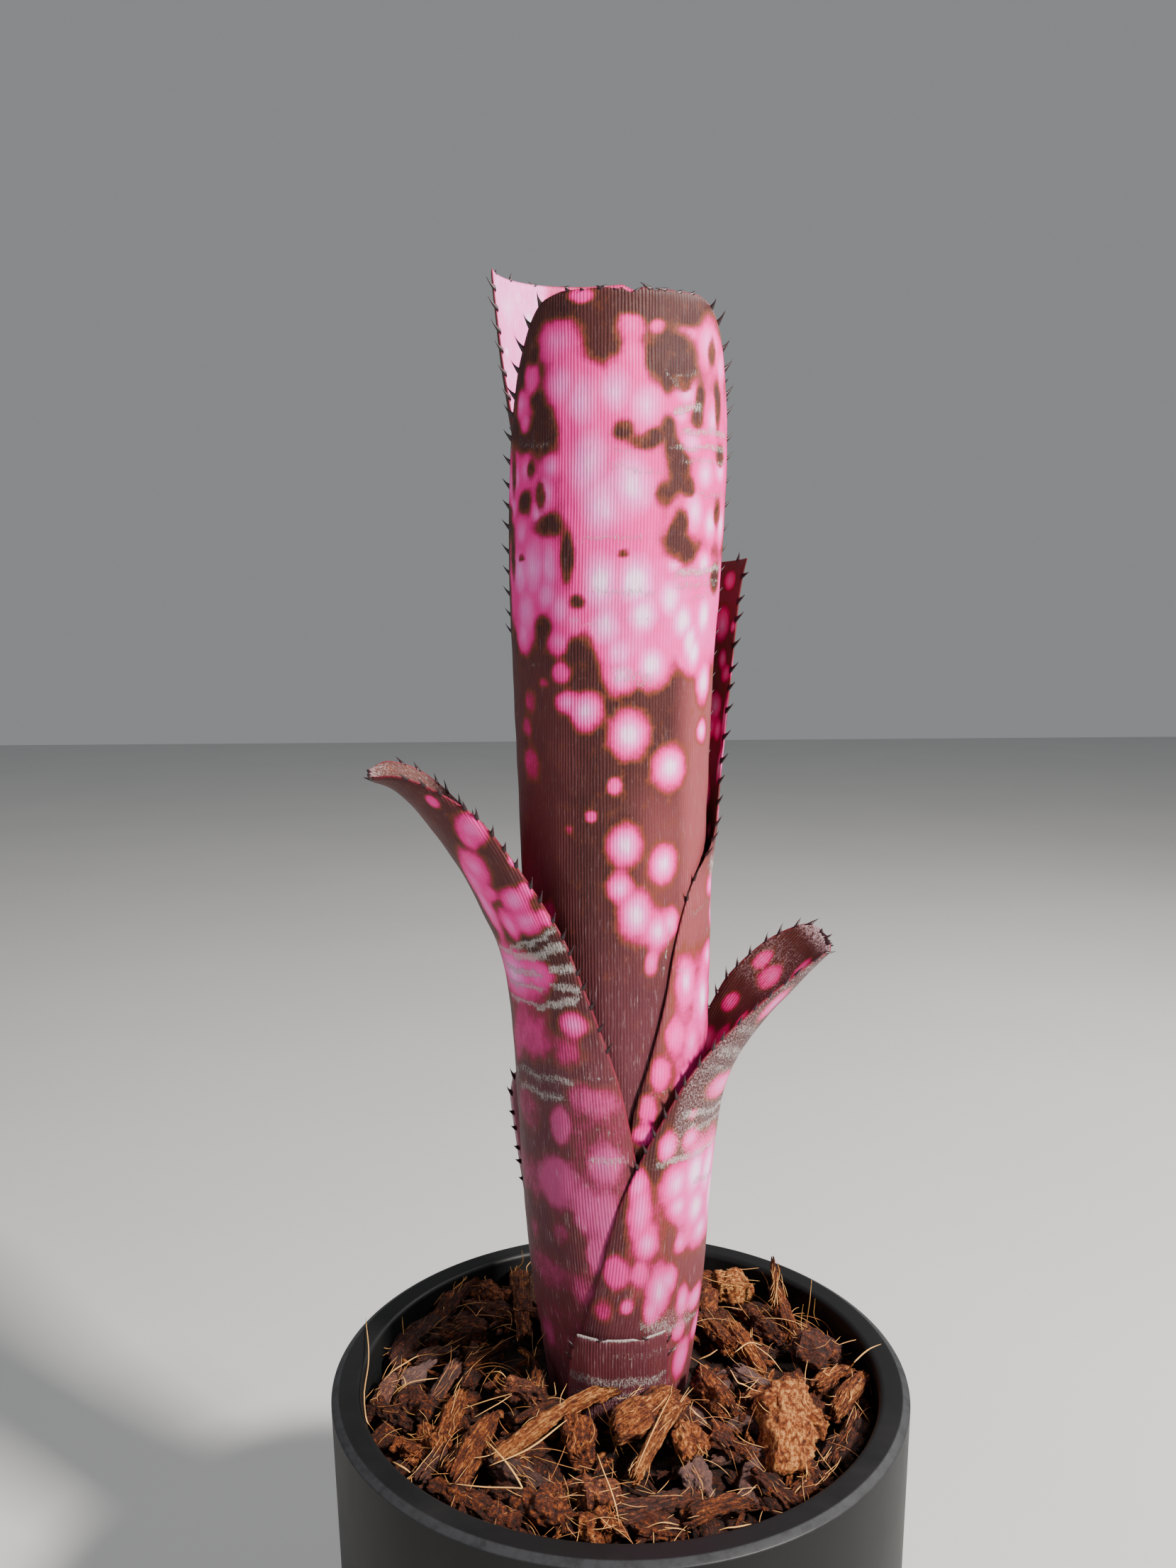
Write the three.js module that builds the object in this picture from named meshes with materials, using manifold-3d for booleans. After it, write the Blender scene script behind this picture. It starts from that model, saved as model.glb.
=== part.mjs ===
// A billbergia in a round pot: strap leaves nested into a tall tube round a short stem,
// rooted in coconut-husk chips.
// Millimetres, +Z up. The origin is the middle of the pot's underside.

import * as THREE from 'three';
import { mergeVertices } from 'three/addons/utils/BufferGeometryUtils.js';
import Module from 'manifold-3d';

const wasm = await Module();
wasm.setup();

// Pot
const POT_HEIGHT = 100;
const RIM_RADIUS = 60;
const RIM_CHAMFER_WIDTH = 1.5;
const RIM_CHAMFER_DEPTH = 0.8;
const RIM_INNER_RADIUS = 53.8;
const RIM_LIP_ROUND = 1.2;
const WALL_TAPER = THREE.MathUtils.degToRad(1.7);
const FOOT_CHAMFER = 1.5;
const FLOOR_THICKNESS = 5;
const FLOOR_ROUND = 4;
const DRAIN_HOLE_RADIUS = 6;
const POT_SEGMENTS = 48;

// Clearances
const SEAT_GAP = 0.3;
const WALL_GAP = 0.5;
const NEST_GAP = 0.5;
const STEM_GAP = 0.4;

// The nest: each sheath stands one pitch outside the last
const BLADE_THICKNESS = 0.7;
const NEST_PITCH = 1.4;
const STEM_RADIUS = 5;
const HEEL_START_RADIUS = STEM_RADIUS + STEM_GAP;
const HEEL_CENTRE_RADIUS = 6.6;
const HEEL_TOP = -3.7;
const HEEL_STEPS = 5;
const INNER_HEEL_RADIUS = 3;
const INNER_LAYER = -1;
const OUTER_LAYER = 4;
const ROW_CROWDING = 1.5;

// Outer radius of the front leaf's layer, by height above the rim
const NEST_PROFILE = [
  [-3.7, 11.0], [0, 11.5], [11, 13.4], [20, 14.5], [40, 15.9], [55, 16.9], [75, 17.9], [90, 18.2],
  [110, 18.6], [130, 18.9], [150, 20.1], [165, 20.9], [190, 21.5], [215, 21.2], [235, 21.2],
];

// Sideways lean of the nest's axis, by height above the rim
const AXIS_LEAN = [
  [-3.7, -0.9], [12, -1.1], [40, -1], [60, -0.8], [100, -0.8], [130, -0.7], [150, -0.5],
  [190, 0.4], [230, 0.6],
];

// A station is one place on a leaf's mid-line: height above the rim, how far the blade stands
// outside its place in the nest, and how far the blade reaches round on the clockwise and the
// other side, in degrees. A recurved leaf adds curl, from 0 where its section lies level to 1
// where it is square to the mid-line, and the radius of its gutter. skew lifts the section to
// one side, in mm per radian.
const LEAVES = {
  leaf_back_tall: {
    layer: -1, azimuth: 90, rows: 17, columns: 12,
    stations: [
      { h: -3.7, out: 0, near: 140, far: 140 },
      { h: 60, out: 0, near: 125, far: 125 },
      { h: 130, out: 0, near: 112, far: 120 },
      { h: 165, out: 0, near: 104, far: 114 },
      { h: 182, out: 0, near: 100, far: 109 },
      { h: 190, out: 0.2, near: 93, far: 104 },
      { h: 197, out: 1.2, near: 84, far: 100 },
      { h: 206, out: 2.5, near: 70, far: 98, skew: -0.8 },
      { h: 216, out: 3.6, near: 46, far: 96, skew: -1.6 },
      { h: 221, out: 4.1, near: 28, far: 95, skew: -1.8 },
      { h: 224.5, out: 4.4, near: 14, far: 93, skew: -2 },
      { h: 227, out: 4.6, near: 4, far: 91, skew: -2.1 },
    ],
    spines: { near: [150, 220], far: [193, 225], tip: 5, spacing: 4.4, length: 1.9 },
    colour: 0x8e4a6b,
  },
  leaf_front_tall: {
    layer: 0, azimuth: 270, rows: 17, columns: 12,
    stations: [
      { h: -3.7, out: 0, near: 140, far: 140 },
      { h: 40, out: 0, near: 128, far: 128 },
      { h: 110, out: 0, near: 106, far: 104 },
      { h: 147, out: 0, near: 95, far: 94 },
      { h: 165, out: 0, near: 86, far: 92 },
      { h: 180, out: 0, near: 79, far: 88 },
      { h: 190, out: 0, near: 73, far: 85 },
      { h: 201, out: 0, near: 64, far: 76 },
      { h: 207, out: 0, near: 56, far: 70 },
      { h: 211.5, out: 0, near: 48, far: 61 },
      { h: 213.8, out: 0, near: 40, far: 52 },
      { h: 214.7, out: 0, near: 30, far: 44 },
    ],
    spines: { near: [160, 213], far: [140, 213], tip: 0, spacing: 4.4, length: 1.9 },
    colour: 0xc0628c,
  },
  leaf_right_tall: {
    layer: 1, azimuth: 30, rows: 17, columns: 12,
    stations: [
      { h: -3.7, out: 0, near: 140, far: 140 },
      { h: 30, out: 0, near: 120, far: 124 },
      { h: 58, out: 0, near: 111, far: 110 },
      { h: 72, out: 0, near: 98, far: 102 },
      { h: 82, out: 0, near: 89, far: 96 },
      { h: 95, out: 0, near: 80, far: 86 },
      { h: 104, out: 0, near: 69, far: 78 },
      { h: 112, out: 0.7, near: 48, far: 70 },
      { h: 118, out: 1.3, near: 33, far: 66 },
      { h: 126, out: 2.1, near: 26, far: 62 },
      { h: 137, out: 3, near: 23, far: 58 },
      { h: 150, out: 3.5, near: 21, far: 54 },
      { h: 160, out: 3.9, near: 20, far: 46 },
      { h: 166, out: 4.1, near: 23, far: 36 },
      { h: 168.5, out: 4.2, near: 27, far: 26 },
    ],
    spines: { near: [99, 168], far: [118, 166], tip: 2, spacing: 4.6, length: 1.8 },
    colour: 0x7c3550,
  },
  leaf_left_lower: {
    layer: 2, azimuth: 195, rows: 18, columns: 10,
    stations: [
      { h: -3.7, out: 0, near: 110, far: 110 },
      { h: 30, out: 0, near: 100, far: 98 },
      { h: 59, out: 0, near: 92, far: 83 },
      { h: 70, out: 0, near: 85, far: 75 },
      { h: 80, out: 0.5, near: 78, far: 67, curl: 0.3, gutter: 20.5 },
      { h: 90, out: 2.1, near: 70, far: 61, curl: 0.9, gutter: 20 },
      { h: 98, out: 5.2, near: 64, far: 60, curl: 1, gutter: 19 },
      { h: 107, out: 9.5, near: 62, far: 59, curl: 1, gutter: 17.3 },
      { h: 115, out: 14.5, near: 59, far: 57, curl: 1, gutter: 16.5 },
      { h: 121.3, out: 19.4, near: 56, far: 48, curl: 1, gutter: 14.5 },
      { h: 125, out: 24, near: 45, far: 35, curl: 1, gutter: 13.5 },
      { h: 126, out: 27, near: 27, far: 21, curl: 1, gutter: 12.5 },
    ],
    spines: { near: [80, 125], far: [72, 125], tip: 3, spacing: 3.9, length: 2 },
    colour: 0xa2607a,
  },
  leaf_right_lower: {
    layer: 3, azimuth: 355, rows: 18, columns: 10,
    stations: [
      { h: -3.7, out: 0, near: 122, far: 112 },
      { h: 17, out: 0, near: 106, far: 104 },
      { h: 30, out: 0, near: 94, far: 98 },
      { h: 45, out: 0, near: 81, far: 86 },
      { h: 56, out: 0.5, near: 68, far: 68, curl: 0.5, gutter: 20.5 },
      { h: 62, out: 1.4, near: 60, far: 57, curl: 1, gutter: 20 },
      { h: 69, out: 4, near: 54, far: 55, curl: 1, gutter: 18 },
      { h: 76, out: 8.6, near: 48, far: 63, curl: 1, gutter: 15.6 },
      { h: 82, out: 13.8, near: 43, far: 65, curl: 1, gutter: 14.2 },
      { h: 87, out: 18.4, near: 35, far: 60, curl: 1, gutter: 13.3 },
      { h: 89.6, out: 20.9, near: 23, far: 52, curl: 1, gutter: 12.5 },
      { h: 90.4, out: 21.9, near: -8, far: 38, curl: 1, gutter: 12 },
    ],
    spines: { near: [48, 90], far: [60, 90], tip: 3, spacing: 3.9, length: 2 },
    colour: 0x9c5470,
  },
  leaf_rear_small: {
    layer: 4, azimuth: 128, rows: 8, columns: 4,
    stations: [
      { h: -3.7, out: 0, near: 44, far: 27 },
      { h: 30, out: 0, near: 36, far: 30 },
      { h: 48, out: 0.3, near: 24, far: 33 },
      { h: 56, out: 0.4, near: 13, far: 33 },
      { h: 60.5, out: 0.4, near: 0, far: 28 },
    ],
    spines: { near: [36, 60], far: [34, 60], tip: 1, spacing: 3.9, length: 1.7 },
    colour: 0xb9a2a0,
  },
  leaf_base_stub: {
    layer: 4, azimuth: 272, rows: 4, columns: 4,
    stations: [
      { h: -3.7, out: 0, near: 42, far: 42 },
      { h: 3, out: 0, near: 37, far: 37 },
      { h: 12, out: 0, near: 31, far: 34 },
      { h: 16.3, out: 0, near: 26, far: 30 },
    ],
    spines: { near: [10, 16], far: [10, 16], tip: 2, spacing: 3.2, length: 1.4 },
    colour: 0xa9848c,
  },
};

// Spines
const SPINE_SIDES = 3;
const SPINE_HALF_WIDTH = 0.62;
const SPINE_FLATNESS = 0.45;
const SPINE_ROOT = 0.8;
const TIP_SPINE_SHARE = 0.7;
const SPINE_RAKE = THREE.MathUtils.degToRad(40);

// Stem and roots, heights below the rim
const STEM_FOOT = -19;
const STEM_TOP = 1;
const STEM_SIDES = 14;
const STEM_END_INSET = 2;
const STEM_FOOT_BEVEL = 3;
const STEM_NECK = 5;
const STEM_CROWN = 1;
const ROOT_COUNT = 6;
const ROOT_RADIUS = 1;
const ROOT_SIDES = 5;
const ROOT_STEPS = 6;
const ROOT_START = -15.5;
const ROOT_START_RADIUS = 1.5;
const ROOT_KNEE_RADIUS = 6;
const ROOT_KNEE_DROP = 7;
const ROOT_BEND = -38;
const ROOT_BEND_SHARE = 0.6;
const ROOT_FOOT = -72;
const ROOT_SPREAD = [10, 34];
const ROOT_SPREAD_STEP = 2.3;
const ROOT_FIRST_TURN = 0.4;
const ROOT_TWIST = 0.12;
const ROOT_TIP_PLAY = 1;

// Husk
const HUSK_SEGMENTS = 36;
const HUSK_WALL_LEVEL = -8.5;
const HUSK_STEM_LEVEL = -0.5;
const HUSK_NEST_RADIUS = 17;
const HUSK_RESERVE_TOP = 14;
const NEST_ROOM_LEVELS = [4, 9, HUSK_RESERVE_TOP + 1];
const BED_SLACK = 0.4;
const BED_KNEE_RADIUS = 35;
const CHIP_ROOM_DEPTH = 30;
const CHIP_COUNT = 66;
const CHIP_SEED = 4;
const CHIP_LENGTH = [11, 20];
const CHIP_WIDTH = [7, 12];
const CHIP_DEPTH = [3, 6];
const CHIP_JITTER = 0.5;
const CHIP_PULL_SIZE = 8;
const CHIP_TILT = 0.75;
const CHIP_INNER_RING = 20;
const CHIP_WALL_MARGIN = 5;
const CHIP_AZIMUTH_PLAY = 0.3;
const CHIP_LIFT = [0.1, 0.4];
const GOLDEN_ANGLE = Math.PI * (3 - Math.sqrt(5));

// Seeded random numbers from 0 to 1
function randomSource(seed) {
  let state = seed >>> 0;
  return () => {
    state = (Math.imul(state, 1664525) + 1013904223) >>> 0;
    return state / 4294967296;
  };
}

// A smooth curve through points in order of x that never overshoots them
function smoothCurve(xs, ys) {
  const last = xs.length - 1;
  const steps = [];
  const slopes = [];
  for (let i = 0; i < last; i += 1) {
    steps.push(xs[i + 1] - xs[i]);
    slopes.push((ys[i + 1] - ys[i]) / steps[i]);
  }
  const tangents = [slopes[0]];
  for (let i = 1; i < last; i += 1) {
    const a = slopes[i - 1];
    const b = slopes[i];
    const before = 2 * steps[i] + steps[i - 1];
    const after = steps[i] + 2 * steps[i - 1];
    tangents.push(a * b > 0 ? (before + after) / (before / a + after / b) : 0);
  }
  tangents.push(slopes[last - 1]);
  return (x) => {
    const at = THREE.MathUtils.clamp(x, xs[0], xs[last]);
    let i = 0;
    while (i < last - 1 && at >= xs[i + 1]) i += 1;
    const t = (at - xs[i]) / steps[i];
    const rise = (1 + 2 * t) * (1 - t) ** 2 * ys[i] + t * t * (3 - 2 * t) * ys[i + 1];
    const turn = t * (1 - t) ** 2 * tangents[i] + t * t * (t - 1) * tangents[i + 1];
    return rise + steps[i] * turn;
  };
}

function curveOf(pairs) {
  return smoothCurve(pairs.map((p) => p[0]), pairs.map((p) => p[1]));
}

const nestRadius = curveOf(NEST_PROFILE);
const axisLean = curveOf(AXIS_LEAN);

// A closed geometry as a manifold solid, and back
function toSolid(geometry) {
  const bare = geometry.clone();
  bare.deleteAttribute('normal');
  bare.deleteAttribute('uv');
  const merged = mergeVertices(bare);
  const mesh = new wasm.Mesh({
    numProp: 3,
    vertProperties: new Float32Array(merged.attributes.position.array),
    triVerts: new Uint32Array(merged.index.array),
  });
  return new wasm.Manifold(mesh);
}

function toGeometry(solid) {
  const mesh = solid.getMesh();
  const geometry = new THREE.BufferGeometry();
  const positions = [];
  for (let i = 0; i < mesh.numVert; i += 1) {
    const at = i * mesh.numProp;
    positions.push(mesh.vertProperties[at], mesh.vertProperties[at + 1], mesh.vertProperties[at + 2]);
  }
  geometry.setAttribute('position', new THREE.Float32BufferAttribute(positions, 3));
  geometry.setIndex(Array.from(mesh.triVerts));
  geometry.computeVertexNormals();
  return geometry;
}

// A body of revolution about Z from [radius, height] pairs, counter-clockwise in that plane
function turned(pairs, segments) {
  const points = pairs.map(([r, z]) => new THREE.Vector2(r, z));
  const geometry = new THREE.LatheGeometry(points, segments);
  geometry.rotateX(Math.PI / 2);
  return geometry;
}

// Pot

function innerWallRadius(z) {
  return RIM_INNER_RADIUS - Math.tan(WALL_TAPER) * (POT_HEIGHT - z);
}

function outerWallRadius(z) {
  return RIM_RADIUS - Math.tan(WALL_TAPER) * (POT_HEIGHT - RIM_CHAMFER_DEPTH - z);
}

function quarterRound(centreR, centreZ, radius, from, to, steps) {
  const pairs = [];
  for (let i = 0; i <= steps; i += 1) {
    const turn = THREE.MathUtils.degToRad(from + ((to - from) * i) / steps);
    pairs.push([centreR + radius * Math.cos(turn), centreZ + radius * Math.sin(turn)]);
  }
  return pairs;
}

function potGeometry() {
  const floorWall = innerWallRadius(FLOOR_THICKNESS);
  const profile = [
    [DRAIN_HOLE_RADIUS, 0],
    [outerWallRadius(0) - FOOT_CHAMFER, 0],
    [outerWallRadius(FOOT_CHAMFER), FOOT_CHAMFER],
    [RIM_RADIUS, POT_HEIGHT - RIM_CHAMFER_DEPTH],
    [RIM_RADIUS - RIM_CHAMFER_WIDTH, POT_HEIGHT],
    ...quarterRound(
      RIM_INNER_RADIUS + RIM_LIP_ROUND, POT_HEIGHT - RIM_LIP_ROUND, RIM_LIP_ROUND, 90, 180, 3,
    ),
    ...quarterRound(floorWall - FLOOR_ROUND, FLOOR_THICKNESS + FLOOR_ROUND, FLOOR_ROUND, 0, -90, 3),
    [DRAIN_HOLE_RADIUS, FLOOR_THICKNESS],
    [DRAIN_HOLE_RADIUS, 0],
  ];
  return turned(profile, POT_SEGMENTS);
}

// Leaves

function rimPoint(distance, height, azimuth, lean) {
  return new THREE.Vector3(
    distance * Math.cos(azimuth) + lean,
    distance * Math.sin(azimuth),
    POT_HEIGHT + height,
  );
}

function heelRadius(layer) {
  return INNER_HEEL_RADIUS + NEST_PITCH * (layer - INNER_LAYER);
}

// The curves of a leaf's measures along its mid-line, from 0 at the heel to 1 at the tip
function bladeCurves(leaf) {
  const reach = leaf.stations.map((s) => nestRadius(s.h) + leaf.layer * NEST_PITCH + s.out);
  const along = [0];
  for (let i = 1; i < reach.length; i += 1) {
    const rise = leaf.stations[i].h - leaf.stations[i - 1].h;
    along.push(along[i - 1] + Math.hypot(rise, reach[i] - reach[i - 1]));
  }
  const length = along[along.length - 1];
  const of = (read) => {
    const curve = smoothCurve(along, leaf.stations.map(read));
    return (v) => curve(v * length);
  };
  return {
    length,
    h: of((s) => s.h),
    reach: of((s, i) => reach[i]),
    near: of((s) => s.near),
    far: of((s) => s.far),
    curl: of((s) => s.curl ?? 0),
    skew: of((s) => s.skew ?? 0),
    gutter: of((s, i) => s.gutter ?? reach[i]),
  };
}

// One cross-section of the blade: at(turn) gives the outer point and the way in, by the angle
// round from the mid-line
function bladeSection(leaf, curves, v) {
  const step = 0.001;
  const a = Math.max(v - step, 0);
  const b = Math.min(v + step, 1);
  const rise = new THREE.Vector2(curves.reach(b) - curves.reach(a), curves.h(b) - curves.h(a)).normalize();
  const curl = curves.curl(v);
  const inward = new THREE.Vector2(-rise.y * curl - (1 - curl), rise.x * curl).normalize();
  const azimuth = THREE.MathUtils.degToRad(leaf.azimuth);
  const outAxis = new THREE.Vector3(Math.cos(azimuth), Math.sin(azimuth), 0);
  const sideAxis = new THREE.Vector3(-Math.sin(azimuth), Math.cos(azimuth), 0);
  const bend = curves.gutter(v);
  const inAxis = outAxis.clone().multiplyScalar(inward.x).setZ(inward.y);
  const height = curves.h(v);
  const middle = outAxis.clone().multiplyScalar(curves.reach(v));
  middle.x += axisLean(height);
  middle.z = POT_HEIGHT + height;
  return {
    height,
    near: -THREE.MathUtils.degToRad(curves.near(v)),
    far: THREE.MathUtils.degToRad(curves.far(v)),
    at(turn) {
      const outer = middle.clone()
        .addScaledVector(inAxis, bend * (1 - Math.cos(turn)))
        .addScaledVector(sideAxis, bend * Math.sin(turn));
      outer.z += curves.skew(v) * turn;
      const way = inAxis.clone().multiplyScalar(Math.cos(turn)).addScaledVector(sideAxis, -Math.sin(turn));
      return { outer, inner: outer.clone().addScaledVector(way, BLADE_THICKNESS), way };
    },
  };
}

// The heel curves in under the nest to the stem, at the leaf's own level on it
function heelRows(leaf, near, far) {
  const radius = heelRadius(leaf.layer);
  const azimuth = THREE.MathUtils.degToRad(leaf.azimuth);
  const places = [{ r: HEEL_START_RADIUS, z: HEEL_TOP - radius, inR: 0, inZ: 1 }];
  for (let i = 0; i < HEEL_STEPS; i += 1) {
    const turn = (Math.PI / 2) * (i / HEEL_STEPS);
    places.push({
      r: HEEL_CENTRE_RADIUS + radius * Math.sin(turn),
      z: HEEL_TOP - radius * Math.cos(turn),
      inR: -Math.sin(turn),
      inZ: Math.cos(turn),
    });
  }
  const lean = axisLean(HEEL_TOP);
  return places.map((place) => ({
    near,
    far,
    at(turn) {
      const outer = rimPoint(place.r, place.z, azimuth + turn, lean);
      const inner = rimPoint(
        place.r + place.inR * BLADE_THICKNESS, place.z + place.inZ * BLADE_THICKNESS, azimuth + turn, lean,
      );
      return { outer, inner };
    },
  }));
}

// The rows crowd towards the tip, where the outline turns fastest
function bladeRows(leaf, curves) {
  const sections = [];
  for (let i = 0; i <= leaf.rows; i += 1) {
    const v = 1 - (1 - i / leaf.rows) ** ROW_CROWDING;
    sections.push(bladeSection(leaf, curves, v));
  }
  return sections;
}

function sheetGeometry(sections, columns) {
  const outer = [];
  const inner = [];
  for (const section of sections) {
    for (let j = 0; j <= columns; j += 1) {
      const turn = THREE.MathUtils.lerp(section.near, section.far, j / columns);
      const place = section.at(turn);
      outer.push(place.outer);
      inner.push(place.inner);
    }
  }
  const wide = columns + 1;
  const offset = outer.length;
  const index = [];
  const quad = (a, b, c, d) => index.push(a, b, c, a, c, d);
  for (let i = 0; i < sections.length - 1; i += 1) {
    for (let j = 0; j < columns; j += 1) {
      const a = i * wide + j;
      index.push(a, a + 1, a + wide + 1, a, a + wide + 1, a + wide);
      const b = a + offset;
      index.push(b, b + wide + 1, b + 1, b, b + wide, b + wide + 1);
    }
    const left = i * wide;
    quad(left, left + wide, left + wide + offset, left + offset);
    const right = left + columns;
    quad(right, right + offset, right + wide + offset, right + wide);
  }
  const top = (sections.length - 1) * wide;
  for (let j = 0; j < columns; j += 1) {
    quad(j, j + offset, j + 1 + offset, j + 1);
    quad(top + j, top + j + 1, top + j + 1 + offset, top + j + offset);
  }
  const geometry = new THREE.BufferGeometry();
  const positions = [...outer, ...inner].flatMap((p) => [p.x, p.y, p.z]);
  geometry.setAttribute('position', new THREE.Float32BufferAttribute(positions, 3));
  geometry.setIndex(index);
  return geometry;
}

// A spine stands on the margin, with its flat root sunk in the blade
function spineGeometry(foot, way, face, length) {
  const cone = new THREE.ConeGeometry(SPINE_HALF_WIDTH, length + SPINE_ROOT, SPINE_SIDES, 1);
  cone.translate(0, (length + SPINE_ROOT) / 2 - SPINE_ROOT, 0);
  cone.scale(1, 1, SPINE_FLATNESS);
  const side = way.clone().cross(face).normalize();
  const flat = side.clone().cross(way).normalize();
  cone.applyMatrix4(new THREE.Matrix4().makeBasis(side, way, flat));
  cone.translate(foot.x, foot.y, foot.z);
  return cone;
}

// The middle of the blade's thickness, a share of the way across a section
function middleAcross(section, share) {
  const { outer, inner } = section.at(THREE.MathUtils.lerp(section.near, section.far, share));
  return outer.clone().add(inner).multiplyScalar(0.5);
}

// Spines at an even spacing along one margin, raked towards the tip
function marginSpines(leaf, sections, side) {
  const [low, high] = leaf.spines[side];
  const edge = side === 'near' ? 0 : 1;
  const next = side === 'near' ? 1 / leaf.columns : 1 - 1 / leaf.columns;
  const cones = [];
  let wait = leaf.spines.spacing / 2;
  for (let i = 0; i < sections.length - 1; i += 1) {
    const from = middleAcross(sections[i], edge);
    const forward = middleAcross(sections[i + 1], edge).sub(from);
    const length = forward.length();
    forward.normalize();
    while (wait < length) {
      const share = wait / length;
      const height = THREE.MathUtils.lerp(sections[i].height, sections[i + 1].height, share);
      if (height >= low && height <= high) {
        const foot = from.clone().addScaledVector(forward, wait);
        const inside = middleAcross(sections[i], next).lerp(middleAcross(sections[i + 1], next), share);
        const outward = foot.clone().sub(inside);
        outward.addScaledVector(forward, -outward.dot(forward)).normalize();
        const face = outward.clone().cross(forward);
        const way = outward.multiplyScalar(Math.cos(SPINE_RAKE));
        way.addScaledVector(forward, Math.sin(SPINE_RAKE));
        cones.push(spineGeometry(foot, way, face, leaf.spines.length));
      }
      wait += leaf.spines.spacing;
    }
    wait -= length;
  }
  return cones;
}

function tipSpines(leaf, sections) {
  const cones = [];
  const last = sections[sections.length - 1];
  const earlier = sections[sections.length - 2];
  for (let i = 0; i < leaf.spines.tip; i += 1) {
    const share = (i + 0.5) / leaf.spines.tip;
    const foot = middleAcross(last, share);
    const way = foot.clone().sub(middleAcross(earlier, share)).normalize();
    const across = middleAcross(last, share + 0.01).sub(foot);
    cones.push(spineGeometry(foot, way, way.clone().cross(across), leaf.spines.length * TIP_SPINE_SHARE));
  }
  return cones;
}

function leafGeometry(leaf) {
  const curves = bladeCurves(leaf);
  const blade = bladeRows(leaf, curves);
  const sections = [...heelRows(leaf, blade[0].near, blade[0].far), ...blade];
  let solid = toSolid(sheetGeometry(sections, leaf.columns));
  const cones = [
    ...marginSpines(leaf, blade, 'near'),
    ...marginSpines(leaf, blade, 'far'),
    ...tipSpines(leaf, blade),
  ];
  for (const cone of cones) solid = solid.add(toSolid(cone));
  return toGeometry(solid);
}

// Stem and roots

function rootPath(number, tipPlay) {
  const azimuth = (number + ROOT_FIRST_TURN) * ((2 * Math.PI) / ROOT_COUNT);
  const share = (1 + Math.cos(number * ROOT_SPREAD_STEP)) / 2;
  const spread = THREE.MathUtils.lerp(ROOT_SPREAD[0], ROOT_SPREAD[1], share);
  const places = [
    [ROOT_START_RADIUS, ROOT_START],
    [ROOT_KNEE_RADIUS, ROOT_START - ROOT_KNEE_DROP],
    [spread * ROOT_BEND_SHARE, ROOT_BEND],
    [spread, ROOT_FOOT - tipPlay],
  ];
  const points = places.map(([r, z], i) => rimPoint(r, z, azimuth + ROOT_TWIST * i, axisLean(HEEL_TOP)));
  return new THREE.CatmullRomCurve3(points, false, 'centripetal');
}

function rootSolid(number, radius, tipPlay) {
  const shape = new THREE.Shape();
  for (let i = 0; i < ROOT_SIDES; i += 1) {
    const turn = (2 * Math.PI * i) / ROOT_SIDES;
    const x = radius * Math.cos(turn);
    const y = radius * Math.sin(turn);
    if (i === 0) shape.moveTo(x, y);
    else shape.lineTo(x, y);
  }
  const geometry = new THREE.ExtrudeGeometry(shape, {
    steps: ROOT_STEPS, extrudePath: rootPath(number, tipPlay), bevelEnabled: false,
  });
  return toSolid(geometry);
}

function stemProfile(gap) {
  return [
    [0, POT_HEIGHT + STEM_FOOT - gap],
    [STEM_RADIUS - STEM_END_INSET + gap, POT_HEIGHT + STEM_FOOT - gap],
    [STEM_RADIUS + gap, POT_HEIGHT + STEM_FOOT + STEM_FOOT_BEVEL],
    [STEM_RADIUS + gap, POT_HEIGHT + STEM_TOP - STEM_NECK],
    [STEM_RADIUS - STEM_END_INSET + gap, POT_HEIGHT + STEM_TOP - STEM_CROWN],
    [0, POT_HEIGHT + STEM_TOP + gap],
  ];
}

function turnedStem(gap) {
  const geometry = turned(stemProfile(gap), STEM_SIDES);
  geometry.translate(axisLean(HEEL_TOP), 0, 0);
  return toSolid(geometry);
}

function stemGeometry() {
  let solid = turnedStem(0);
  for (let i = 0; i < ROOT_COUNT; i += 1) solid = solid.add(rootSolid(i, ROOT_RADIUS, 0));
  return toGeometry(solid);
}

// Husk

function huskLevel(radius) {
  const share = (radius - HUSK_NEST_RADIUS) / (RIM_INNER_RADIUS - HUSK_NEST_RADIUS);
  return POT_HEIGHT + THREE.MathUtils.lerp(HUSK_STEM_LEVEL, HUSK_WALL_LEVEL, share);
}

function huskBed() {
  const floor = FLOOR_THICKNESS + SEAT_GAP;
  const wallLevel = POT_HEIGHT + HUSK_WALL_LEVEL;
  const gap = WALL_GAP + BED_SLACK;
  const profile = [
    [0, floor],
    [innerWallRadius(floor) - gap - FLOOR_ROUND, floor],
    [innerWallRadius(floor) - gap, floor + FLOOR_ROUND],
    [innerWallRadius(wallLevel) - gap, wallLevel],
    [BED_KNEE_RADIUS, huskLevel(BED_KNEE_RADIUS)],
    [0, huskLevel(0)],
  ];
  return toSolid(turned(profile, HUSK_SEGMENTS));
}

// The room inside the pot that chips may take, clear of the wall
function chipRoom() {
  const low = POT_HEIGHT - CHIP_ROOM_DEPTH;
  const top = POT_HEIGHT + HUSK_RESERVE_TOP;
  const profile = [
    [0, low],
    [innerWallRadius(low) - WALL_GAP, low],
    [innerWallRadius(low) - WALL_GAP, top],
    [0, top],
  ];
  return toSolid(turned(profile, POT_SEGMENTS));
}

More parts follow.
